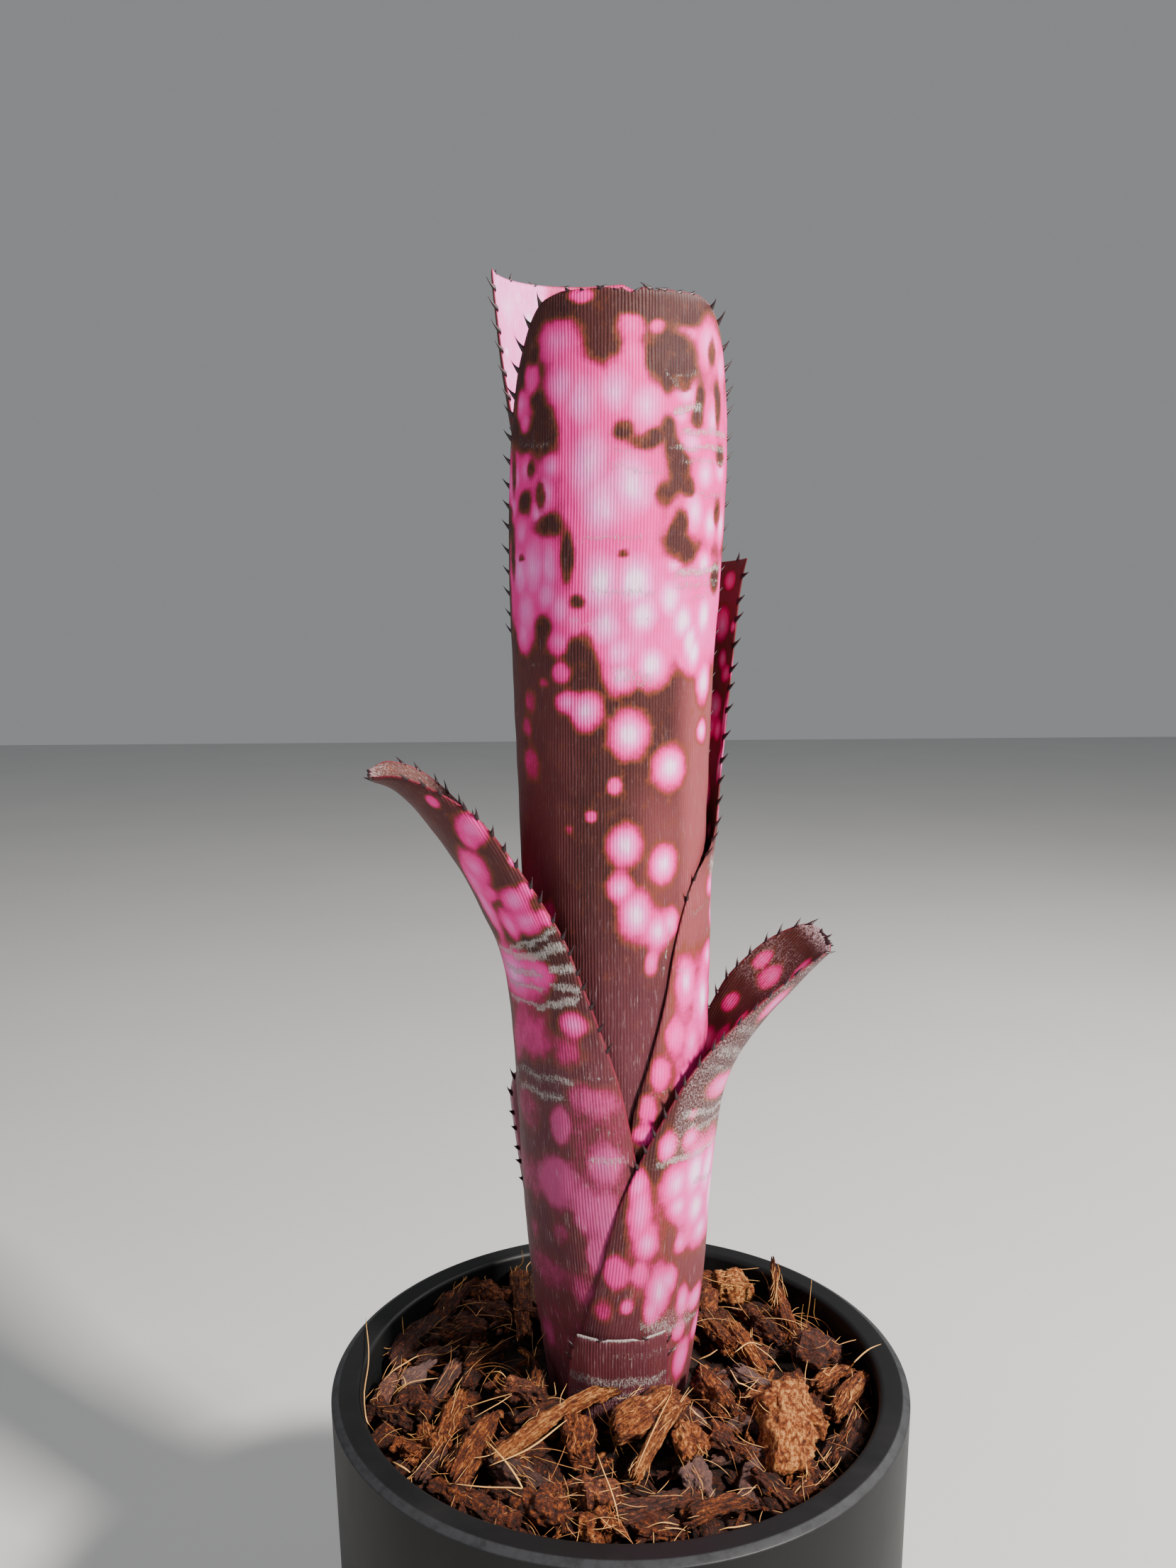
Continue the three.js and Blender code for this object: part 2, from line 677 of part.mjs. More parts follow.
// The room that the nest takes, with a gap round its outermost sheath
function nestRoom() {
  const radius = heelRadius(OUTER_LAYER) + NEST_GAP;
  const centre = POT_HEIGHT + HEEL_TOP;
  const profile = [
    [0, centre - radius],
    ...quarterRound(HEEL_CENTRE_RADIUS, centre, radius, -90, 0, 5),
  ];
  for (const height of NEST_ROOM_LEVELS) {
    profile.push([nestRadius(height) + OUTER_LAYER * NEST_PITCH + NEST_GAP, POT_HEIGHT + height]);
  }
  profile.push([0, POT_HEIGHT + HUSK_RESERVE_TOP + 1]);
  const geometry = turned(profile, HUSK_SEGMENTS);
  geometry.translate(axisLean(0), 0, 0);
  return toSolid(geometry);
}

function pick(random, [low, high]) {
  return THREE.MathUtils.lerp(low, high, random());
}

function plainBox([x, y, z]) {
  const box = new THREE.BoxGeometry(x, y, z);
  box.deleteAttribute('normal');
  box.deleteAttribute('uv');
  return mergeVertices(box);
}

// A chip is a torn block: a box with its corners pulled about
function tornBlock(random, size) {
  const geometry = plainBox(size);
  const corners = geometry.attributes.position;
  for (let i = 0; i < corners.count; i += 1) {
    const pull = size.map((s) => 1 - CHIP_JITTER * random() * Math.min(1, CHIP_PULL_SIZE / s));
    corners.setXYZ(i, corners.getX(i) * pull[0], corners.getY(i) * pull[1], corners.getZ(i) * pull[2]);
  }
  return geometry;
}

function huskChips() {
  const random = randomSource(CHIP_SEED);
  const inner = CHIP_INNER_RING;
  const outer = RIM_INNER_RADIUS - CHIP_WALL_MARGIN;
  const chips = [];
  for (let i = 0; i < CHIP_COUNT; i += 1) {
    const share = (i + 0.5) / CHIP_COUNT;
    const radius = Math.sqrt(inner * inner + share * (outer * outer - inner * inner));
    const azimuth = i * GOLDEN_ANGLE + CHIP_AZIMUTH_PLAY * random();
    const size = [pick(random, CHIP_LENGTH), pick(random, CHIP_WIDTH), pick(random, CHIP_DEPTH)];
    const geometry = tornBlock(random, size);
    geometry.rotateX(pick(random, [-CHIP_TILT, CHIP_TILT]));
    geometry.rotateY(pick(random, [-CHIP_TILT, CHIP_TILT]));
    geometry.rotateZ(random() * 2 * Math.PI);
    const lift = size[2] * pick(random, CHIP_LIFT);
    geometry.translate(radius * Math.cos(azimuth), radius * Math.sin(azimuth), huskLevel(radius) + lift);
    chips.push(toSolid(geometry));
  }
  return chips;
}

function huskGeometry() {
  const chips = wasm.Manifold.union(huskChips()).intersect(chipRoom());
  let solid = huskBed().add(chips);
  solid = solid.subtract(nestRoom());
  solid = solid.subtract(turnedStem(STEM_GAP));
  for (let i = 0; i < ROOT_COUNT; i += 1) {
    solid = solid.subtract(rootSolid(i, ROOT_RADIUS + STEM_GAP, ROOT_TIP_PLAY));
  }
  const pieces = solid.decompose();
  pieces.sort((a, b) => b.volume() - a.volume());
  return toGeometry(pieces[0]);
}

// Assembly

function named(name, geometry, colour, roughness) {
  const material = new THREE.MeshStandardMaterial({ color: colour, roughness, metalness: 0 });
  const mesh = new THREE.Mesh(geometry, material);
  mesh.name = name;
  return mesh;
}

const plant = new THREE.Group();
plant.add(named('stem_and_roots', stemGeometry(), 0xa98f68, 0.8));
for (const [name, leaf] of Object.entries(LEAVES)) {
  plant.add(named(name, leafGeometry(leaf), leaf.colour, 0.55));
}

const assembly = new THREE.Group();
assembly.add(named('pot', potGeometry(), 0x1d1d1f, 0.6));
assembly.add(named('husk_substrate', huskGeometry(), 0x8a5532, 0.95));
assembly.add(plant);

export default assembly;
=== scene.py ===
import math

import bpy
import numpy as np
from mathutils import Euler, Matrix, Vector


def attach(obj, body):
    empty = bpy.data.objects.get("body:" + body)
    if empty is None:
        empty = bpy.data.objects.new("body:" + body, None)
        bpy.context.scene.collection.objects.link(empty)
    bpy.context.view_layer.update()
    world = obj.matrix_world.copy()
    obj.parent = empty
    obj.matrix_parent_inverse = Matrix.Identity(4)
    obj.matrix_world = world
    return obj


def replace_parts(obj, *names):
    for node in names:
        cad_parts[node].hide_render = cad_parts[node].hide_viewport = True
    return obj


MM = 0.001
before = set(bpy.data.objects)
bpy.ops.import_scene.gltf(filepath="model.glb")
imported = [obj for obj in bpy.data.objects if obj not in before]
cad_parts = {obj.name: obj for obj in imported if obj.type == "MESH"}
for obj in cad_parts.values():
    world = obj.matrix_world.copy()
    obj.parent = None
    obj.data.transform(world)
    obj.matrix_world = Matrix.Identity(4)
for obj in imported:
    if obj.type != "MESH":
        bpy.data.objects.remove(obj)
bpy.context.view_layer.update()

# Camera: place in millimetres, tilt and roll in degrees, and the photo's size in pixels
CAMERA_PLACE = (-5.51, -255.5, 252.19)
CAMERA_TILT = 83.64
CAMERA_ROLL = 0.42
CAMERA_SENSOR = 36
CAMERA_LENS = 29.29
PHOTO_WIDTH = 1659
PHOTO_HEIGHT = 2212

# Pot
POT_HEIGHT = 100
RIM_RADIUS = 60
RIM_CHAMFER_WIDTH = 1.5
RIM_CHAMFER_DEPTH = 0.8
RIM_INNER_RADIUS = 53.8
RIM_LIP_ROUND = 1.2
WALL_TAPER = math.radians(1.7)
FOOT_CHAMFER = 1.5
FLOOR_THICKNESS = 5
FLOOR_ROUND = 4
DRAIN_HOLE_RADIUS = 6
POT_SEGMENTS = 256

# The nest of leaves
BLADE_THICKNESS = 0.7
NEST_PITCH = 1.4
STEM_RADIUS = 5
HEEL_START_RADIUS = STEM_RADIUS + 0.4
HEEL_CENTRE_RADIUS = 6.6
HEEL_TOP = -3.7
HEEL_STEPS = 5
INNER_HEEL_RADIUS = 3
INNER_LAYER = -1

# Outer radius of the front leaf's layer, and the sideways lean of the axis, by height
NEST_PROFILE = (
    (HEEL_TOP, 11.0), (0, 11.5), (11, 13.4), (20, 14.5), (40, 15.9), (55, 16.9), (75, 17.9), (90, 18.2),
    (110, 18.6), (130, 18.9), (150, 20.1), (165, 20.9), (190, 21.5), (215, 21.2), (235, 21.2),
)
AXIS_LEAN = (
    (HEEL_TOP, -0.9), (12, -1.1), (40, -1), (60, -0.8), (100, -0.8), (130, -0.7), (150, -0.5),
    (190, 0.4), (230, 0.6),
)

# A station: height, distance outside the nest, reach round on the clockwise and on the other
# side in degrees, curl, gutter radius (None is the nest's own) and skew
LEAVES = {
    "leaf_back_tall": {
        "layer": -1, "azimuth": 90, "rows": 200, "columns": 110,
        "stations": (
            (HEEL_TOP, 0, 140, 140), (60, 0, 125, 125), (130, 0, 112, 120), (165, 0, 104, 114),
            (182, 0, 100, 109), (190, 0.2, 93, 104), (197, 1.2, 84, 100),
            (206, 2.5, 70, 98, 0, None, -0.8), (216, 3.6, 46, 96, 0, None, -1.6),
            (221, 4.1, 28, 95, 0, None, -1.8), (224.5, 4.4, 14, 93, 0, None, -2),
            (227, 4.6, 4, 91, 0, None, -2.1),
        ),
        "spines": {
            "near": (150, 220), "far": (150, 226), "tip": 5, "spacing": 4.2, "length": 2.2, "flare": 0.9,
        },
    },
    "leaf_front_tall": {
        "layer": 0, "azimuth": 270, "rows": 250, "columns": 130,
        "stations": (
            (HEEL_TOP, 0, 140, 140), (40, 0, 128, 128), (110, 0, 106, 104), (147, 0, 95, 94),
            (165, 0, 86, 92), (180, 0, 79, 88), (190, 0, 73, 85), (201, 0, 64, 76),
            (207, 0, 56, 70), (211.5, 0, 48, 61), (213.8, 0, 40, 52), (214.7, 0, 30, 44),
        ),
        "spines": {
            "near": (150, 214), "far": (120, 214), "tip": 9, "spacing": 4.2, "length": 2.5, "flare": 1.1,
        },
    },
    "leaf_right_tall": {
        "layer": 1, "azimuth": 30, "rows": 200, "columns": 110,
        "stations": (
            (HEEL_TOP, 0, 140, 140), (30, 0, 120, 124), (58, 0, 111, 110), (72, 0, 98, 102),
            (82, 0, 89, 96), (95, 0, 80, 86), (104, 0, 69, 78), (112, 0.7, 48, 70),
            (118, 1.3, 33, 66), (126, 2.1, 26, 62), (137, 3, 23, 58), (150, 3.5, 21, 54),
            (160, 3.9, 20, 46), (166, 4.1, 23, 36), (168.5, 4.2, 27, 26),
        ),
        "spines": {
            "near": (99, 168), "far": (118, 166), "tip": 2, "spacing": 4.6, "length": 2.2, "flare": 0.5,
        },
    },
    "leaf_left_lower": {
        "layer": 2, "azimuth": 195, "rows": 180, "columns": 110,
        "stations": (
            (HEEL_TOP, 0, 110, 110), (30, 0, 100, 98), (59, 0, 92, 83), (70, 0, 85, 75),
            (80, 0.5, 78, 67, 0.3, 20.5), (90, 2.1, 70, 61, 0.9, 20), (98, 5.2, 64, 60, 1, 19),
            (107, 9.5, 62, 59, 1, 17.3), (115, 14.5, 59, 57, 1, 16.5), (121.3, 19.4, 56, 48, 1, 14.5),
            (125, 24, 45, 35, 1, 13.5), (126, 27, 27, 21, 1, 12.5),
        ),
        "spines": {"near": (80, 125), "far": (72, 125), "tip": 6, "spacing": 3.9, "length": 2},
    },
    "leaf_right_lower": {
        "layer": 3, "azimuth": 355, "rows": 150, "columns": 110,
        "stations": (
            (HEEL_TOP, 0, 122, 112), (17, 0, 106, 104), (30, 0, 94, 98), (45, 0, 81, 86),
            (56, 0.5, 68, 68, 0.5, 20.5), (62, 1.4, 60, 57, 1, 20), (69, 4, 54, 55, 1, 18),
            (76, 8.6, 48, 63, 1, 15.6), (82, 13.8, 43, 65, 1, 14.2), (87, 18.4, 35, 60, 1, 13.3),
            (89.6, 20.9, 23, 52, 1, 12.5), (90.4, 21.9, -8, 38, 1, 12),
        ),
        "spines": {"near": (48, 90), "far": (60, 90), "tip": 6, "spacing": 3.9, "length": 2},
    },
    "leaf_rear_small": {
        "layer": 4, "azimuth": 128, "rows": 80, "columns": 36,
        "stations": (
            (HEEL_TOP, 0, 44, 27), (30, 0, 36, 30), (48, 0.5, 24, 34), (56, 0.7, 13, 35),
            (60.5, 0.7, 0, 29),
        ),
        "spines": {"near": (36, 60), "far": (34, 60), "tip": 1, "spacing": 3.9, "length": 1.7},
    },
    "leaf_base_stub": {
        "layer": 4, "azimuth": 272, "rows": 40, "columns": 44,
        "stations": (
            (HEEL_TOP, 0, 42, 42), (3, 0, 37, 37), (12, 0, 31, 34), (16.3, 0, 26, 30),
        ),
        "spines": {"near": (10, 16), "far": (10, 16), "tip": 2, "spacing": 3.2, "length": 1.4},
    },
}

# Spots: azimuth in degrees, height, half-width in degrees, half-height, and how pale the middle
# is, from 0 to 1; a spot of 0 is also dimmed, as painted shade. "outer" and "inner" are the two faces of the
# blade.
SPOTS = {
    "leaf_front_tall": {
        "outer": (
            (251, 213.5, 6, 1.3, 0.2), (238, 206, 12, 4, 0.4), (241, 198, 11, 5, 0.5),
            (221.5, 200.5, 5.5, 3, 0.3), (212, 196, 8, 2.6, 0.4), (218, 193, 6, 2.5, 0.3),
            (275, 208, 7.5, 2.2, 0.3), (276, 203.5, 5, 2.8, 0.3), (289, 208, 4, 1.2, 0.2),
            (306, 207.5, 9, 1.5, 0.4), (322, 206, 12, 5, 0.6), (334, 203, 7, 4, 0.6),
            (252, 195, 12, 7, 0.6), (268, 196.5, 12, 5.5, 0.7), (283, 194.5, 13, 5, 0.7),
            (255, 184, 14, 9, 0.7), (276, 180, 17, 8, 0.8), (262, 177, 16, 8, 0.8),
            (305, 197, 9, 3, 0.8), (302, 193, 5, 2, 0.7), (309, 188.3, 9, 3, 0.7),
            (325, 193, 8, 4, 0.7), (319, 183, 9, 4, 0.8), (335, 184, 9, 3, 0.8), (312, 176, 9, 5, 0.8),
            (326, 174, 9, 4, 0.9), (340, 174, 8, 4, 0.9), (322, 166.5, 7, 3, 0.9),
            (200, 182, 6, 4.5, 0.4), (207, 183, 7, 4, 0.5), (217, 184, 8, 3, 0.5),
            (205, 188, 6, 1.8, 0.4), (203, 178, 6, 3, 0.5), (235, 184, 6, 2.5, 0.5),
            (231, 179, 8, 4, 0.6), (226, 176, 6, 3, 0.6), (212, 173, 9, 3.5, 0.5),
            (209, 165, 13, 6, 0.7), (222, 166, 12, 7, 0.7), (214, 158, 12, 6, 0.6),
            (233, 166, 7, 6, 0.7), (231, 161, 9, 4, 0.6), (211, 154, 8, 4, 0.5), (240, 158, 8, 4, 0.5),
            (248, 156, 6, 3, 0.4), (238, 152.3, 7, 2.6, 0.5), (262, 163, 13, 7, 0.9),
            (280, 163, 14, 6.5, 1), (265, 155, 12, 5, 0.8), (284, 157, 12, 5, 1),
            (272, 150, 10, 4, 0.7), (299, 160, 10, 5, 1), (308, 156, 10, 5, 1), (314, 152, 8, 5, 1),
            (300, 166, 6, 2, 0.8), (325, 157, 9, 5, 1), (318, 150, 9, 4, 1), (330, 144.5, 9, 4.5, 1),
            (331, 135, 7, 2.3, 0.9), (290, 148, 11, 4.5, 1), (273, 146, 9, 3.5, 0.8),
            (254, 139.5, 9.5, 3.6, 0.8), (243, 141, 7, 2, 0.5), (278, 135, 11, 4.5, 1),
            (303, 128.5, 11.5, 4.2, 1), (270, 125.3, 4, 1.6, 0.3), (256.5, 119.5, 3.5, 1.1, 0.2),
            (276, 114, 10, 4, 0.9), (300, 110, 9.5, 4, 1), (273, 106, 7.5, 2.8, 0.8),
            (283, 100.5, 11, 5, 0.9), (297, 97, 9, 4, 0.9), (306, 98.5, 7, 3, 0.7),
            (293, 91, 4.5, 2.4, 0.5), (215, 141, 6, 2.2, 0), (211, 136, 6, 2, 0), (214, 129, 8, 3.6, 0),
            (228, 144.5, 4, 0.9, 0), (240, 146.5, 6, 2, 0.2), (226, 100, 8, 2.6, 0),
            (243, 117, 3, 1, 0),
        ),
        "inner": ((325, 204, 9, 3.5, 0.6), (215, 200, 9, 3.5, 0.6), (300, 206, 8, 3, 0.5)),
    },
    "leaf_left_lower": {
        "outer": (
            (234, 120.5, 4.8, 1, 0.2), (243, 114.5, 11, 2.6, 0.4), (236, 113, 6, 1.6, 0.3),
            (224, 108.5, 11, 3.6, 0.5), (214, 106, 9, 4, 0.4), (212, 101, 7, 6, 0.5),
            (222, 103.5, 8, 1.5, 0.3), (239.5, 101.3, 9.5, 2.5, 0.5), (226, 97.5, 6, 3, 0.5),
            (240, 97.3, 10, 2.4, 0.5), (253.5, 107.3, 2.2, 1, 0.6), (251, 102.5, 4, 1.3, 0.3),
            (252, 97, 3, 1.6, 0.3), (231, 88, 11, 3, 0.4), (210, 88, 20, 5.5, 0.8),
            (217, 75.5, 16, 4.8, 0), (249, 79.5, 8, 2.2, 0.5), (244, 74, 9, 3.2, 0),
            (262, 64.5, 10, 3.2, 0), (250, 65.5, 8, 3, 0), (208, 60, 14, 5, 0), (237, 59, 7, 4, 0.1),
            (264, 52, 9, 3.6, 0.4), (212, 45.5, 10, 5, 0), (233, 47, 14, 5.5, 0.1),
            (253, 42, 8, 4.5, 0.2), (264, 41, 8, 5, 0.3), (209, 34.5, 6, 2.6, 0), (234, 36, 6, 2.2, 0),
            (258, 33, 6, 4, 0.1), (220, 27, 24, 4, 0), (250, 25, 9, 4, 0), (212, 12, 8, 3, 0),
            (197, 46, 9, 5, 0), (199, 72, 8, 4, 0),
        ),
        "inner": (
            (245, 118, 7, 2.5, 0.5), (225, 122, 6, 2, 0.4), (205, 112, 9, 3.5, 0.4),
            (175, 116, 8, 3, 0.4), (190, 103, 9, 4, 0.3), (230, 106, 7, 3, 0.3), (160, 104, 7, 3, 0.3),
            (215, 96, 8, 3, 0.3),
        ),
    },
    "leaf_right_lower": {
        "outer": (
            (325, 79.5, 8, 3.2, 0.6), (332, 64, 16, 2.4, 0.6), (296.5, 54.5, 5.5, 2.6, 0.7),
            (311.5, 55.3, 6, 2, 0.6), (310, 59.5, 3, 0.8, 0.4), (305, 47, 10, 4.2, 0.8),
            (320, 48, 12, 7, 1), (335, 47, 14, 8, 1), (324, 40, 12, 5.5, 1), (346, 40, 12, 8, 1),
            (308, 42, 8, 3, 0.8), (311, 34, 4.5, 2, 0.6), (331, 34.5, 14, 3.6, 0.9),
            (284, 42, 6, 6, 0.5), (288, 36, 6.5, 3.6, 0.7), (282, 48, 5, 3, 0.5),
            (297, 25, 8.5, 5.6, 0.8), (303, 27, 7, 3, 0.7), (292, 21, 5, 3, 0.6),
            (284, 29.5, 4.4, 2.4, 0.3), (276.5, 22.7, 3.8, 1.6, 0.3), (316, 21, 6, 3.6, 0.7),
            (332, 19.5, 12, 2.6, 0.7), (315, 14.5, 6, 2.2, 0.5), (322, 7.5, 9, 4.6, 0.5),
            (270, 30, 7, 3.4, 0.1), (262, 22, 6, 2.6, 0), (340, 12, 9, 3, 0.6),
        ),
        "inner": (
            (388.5, 80.3, 10, 2.2, 0.3), (407, 81.2, 6.5, 1.7, 0.3), (399, 72.8, 6, 1.8, 0.3),
            (379, 72.2, 3, 1.8, 0.2), (386, 67, 5, 3, 0.3), (397, 65, 7, 2.5, 0.7),
            (340, 83, 8, 2.5, 0.4), (355, 74, 8, 3, 0.4), (365, 85, 6, 2, 0.4), (320, 82, 7, 2.5, 0.4),
            (372, 64, 6, 2.5, 0.4), (345, 64, 8, 2.5, 0.4),
        ),
    },
    "leaf_right_tall": {
        "outer": (
            (316, 86.5, 6, 4.2, 0.9), (334, 81.5, 10, 6, 1), (342, 90, 9, 2.8, 0.9),
            (345, 104, 8, 2.4, 0.7), (322, 74, 7, 3.6, 0.6), (307, 76, 6, 3.4, 0.4),
            (298, 69, 6, 3.4, 0.3), (290, 62, 5, 3, 0.2), (352, 98, 8, 3, 0.7), (318, 66, 9, 3, 0.3),
        ),
        # these inner spots are made paler, painted light where light shows through into this shaded face
        "inner": (
            (381, 164.5, 5.5, 2, 0.6), (384.5, 155.5, 7.5, 3.6, 0.8), (372, 155, 2.8, 1.3, 0.8),
            (380, 148.5, 4.4, 2, 0.8), (374, 145.5, 6, 1.8, 0.7), (383, 138.7, 8, 3, 0.9),
            (376, 134, 5, 2.2, 0.8), (386, 134.5, 6, 2.6, 0.8), (368, 137, 3, 5, 0.8),
            (366, 127, 4, 4, 1), (382, 120.5, 6, 4, 1), (371, 113.5, 4, 1.8, 0.9),
            (400, 160, 7, 3, 0.4), (402, 146, 8, 3.5, 0.4), (408, 130, 8, 4, 0.4),
        ),
    },
    "leaf_back_tall": {
        "outer": (),
        "inner": (
            (140, 219, 9, 3.4, 1), (168, 211, 9, 3, 1), (155, 223, 5, 1.2, 0.4), (150, 206, 8, 3, 0.8),
            (130, 210, 9, 4, 0.6), (110, 216, 9, 4, 0.6), (90, 208, 10, 4, 0.5), (70, 200, 10, 4, 0.5),
        ),
    },
    "leaf_rear_small": {"outer": (), "inner": ()},
    "leaf_base_stub": {"outer": (), "inner": ()},
}

# Where spots run together into a pink ground: face, azimuths and heights from and to, strength
# and how pale
WASHES = {
    "leaf_front_tall": (
        ("outer", 240, 292, 157, 205, 0.85, 0.04), ("outer", 292, 352, 172, 199, 0.75, 0.04),
        ("outer", 194, 242, 156, 171, 0.85, 0.04), ("outer", 194, 232, 178, 186, 0.7, 0.04),
        ("outer", 262, 352, 148, 168, 0.9, 0.25), ("outer", 316, 352, 198, 204, 0.3, 0.1),
    ),
    "leaf_left_lower": (
        ("outer", 190, 250, 8, 22, 0.3, 0), ("outer", 196, 236, 72, 90, 0.3, 0),
        ("outer", 244, 280, 44, 66, 0.35, 0.2), ("outer", 226, 270, 34, 50, 0.15, 0.1),
    ),
    "leaf_right_lower": (("outer", 306, 356, 32, 50, 0.45, 0.5), ("outer", 276, 300, 24, 46, 0.3, 0.3)),
    "leaf_right_tall": (("outer", 306, 356, 64, 92, 0.5, 0.45),),
    "leaf_back_tall": (("inner", 126, 200, 194, 232, 0.92, 0.7), ("inner", 40, 126, 208, 232, 0.5, 0.4)),
}

# Dark patches that stay free of spots on the outer face: azimuth, height, half-width in degrees,
# half-height
DARKS = {
    "leaf_front_tall": (
        (262, 205.5, 9.5, 4.8), (299, 203.8, 13, 4.8), (288, 202, 6, 4.5), (314, 196, 4, 3),
        (228, 192, 9, 5.2), (214, 189, 14, 1.8), (204, 192, 6, 1.6), (272, 189.8, 6, 2.4),
        (282, 187.8, 8, 1.8), (294, 190.5, 5, 2.6), (301, 183.5, 8, 4.8), (293, 178.8, 6, 2.6),
        (305, 169, 10, 3), (299, 172, 3, 2), (216, 178.2, 6, 2.2), (196, 177, 6, 1.6),
        (233, 173.5, 10, 2.2), (244, 167.5, 4.5, 5.5), (228, 155.2, 7, 2.4), (252, 148.5, 9, 4.8),
        (273, 168, 4, 0.9), (212, 168, 4, 0.8), (222, 205, 5, 2.5), (250, 159.5, 5, 1.6),
        (240, 211.5, 10, 1.6), (281, 211.5, 14, 1.6), (306, 210.5, 10, 2), (324, 205, 4, 3),
        (330, 196, 4, 6), (294, 199.5, 4, 3.5), (303, 199, 7, 2.6), (312, 192.5, 5, 2),
        (287, 189, 5, 1.6), (297, 187, 5, 2.4), (308, 180, 5, 2), (304, 174, 5, 3), (336, 164, 7, 3),
        (333, 176, 5, 3), (334, 186.5, 6, 2.4), (206, 198, 4, 6), (204, 184, 3.6, 5), (201, 168, 4, 5),
        (221, 184, 4, 2), (228, 179, 4, 3),
    ),
}

# Painted light where light shows through the leaf, is thrown onto it from the pink leaves beside,
# or lifts a face in shade: face, azimuths from and to, heights from and to, strength
PAINTED_LIGHT_AREAS = {
    "leaf_front_tall": (
        ("outer", 312, 352, 94, 152, 0.75), ("outer", 284, 318, 92, 124, 0.35),
        ("outer", 190, 244, 70, 150, 0.22),
    ),
    "leaf_rear_small": (("outer", 80, 176, 36, 70, 0.25),),
    "leaf_right_tall": (("outer", 296, 368, 56, 110, 0.7), ("inner", 356, 410, 96, 172, 0.6)),
    "leaf_right_lower": (("outer", 296, 356, 2, 50, 0.35), ("inner", 330, 400, 56, 70, 0.35)),
    "leaf_left_lower": (("outer", 186, 262, 98, 124, 0.12),),
    "leaf_base_stub": (("outer", 226, 256, 6, 14, 0.95), ("outer", 250, 262, 8, 11, 0.6)),
}

# Pale scurf, and on the rear small leaf also painted light on faces in shade: face, azimuths from
# and to, heights from and to, strength
SCURF_AND_LIGHT_AREAS = {
    "leaf_back_tall": (("inner", 60, 200, 186, 230, 0.3),),
    "leaf_left_lower": (
        ("inner", 150, 215, 124.5, 130, 0.55), ("inner", 120, 262, 98, 128, 0.3),
        ("outer", 214, 262, 60, 74, 0.25),
    ),
    "leaf_right_lower": (
        ("inner", 330, 430, 88, 93, 0.55), ("inner", 330, 430, 76, 87, 0.36),
        ("outer", 296, 356, 50, 92, 0.42), ("outer", 288, 330, 13, 21, 0.4),
    ),
    "leaf_base_stub": (("outer", 228, 316, -4, 6, 0.35), ("outer", 262, 316, 9, 18, 0.2)),
    # on the rear small leaf these rows are partly scurf and partly painted light lifting faces in shade
    "leaf_rear_small": (("outer", 80, 176, 44, 70, 0.25), ("inner", 80, 190, 30, 62, 1)),
    "leaf_front_tall": (("outer", 296, 348, 156, 214, 0.2), ("outer", 196, 240, 186, 214, 0.12)),
}

# Where the photo doesn't show a face, its spots are scattered: face, azimuths, heights, how many
SCATTER = {
    "leaf_back_tall": (("outer", (2, 178), (2, 222), 190), ("inner", (-10, 190), (140, 216), 44)),
    "leaf_front_tall": (("outer", (200, 340), (2, 54), 26), ("inner", (200, 340), (150, 198), 20)),
    "leaf_right_tall": (("outer", (-6, 168), (2, 162), 120), ("outer", (-85, -10), (2, 58), 14)),
    "leaf_left_lower": (("outer", (100, 190), (2, 118), 60), ("inner", (120, 270), (40, 92), 14)),
    "leaf_right_lower": (("outer", (-2, 108), (2, 84), 60), ("inner", (300, 420), (30, 58), 10)),
    "leaf_rear_small": (("outer", (88, 160), (2, 56), 12),),
}

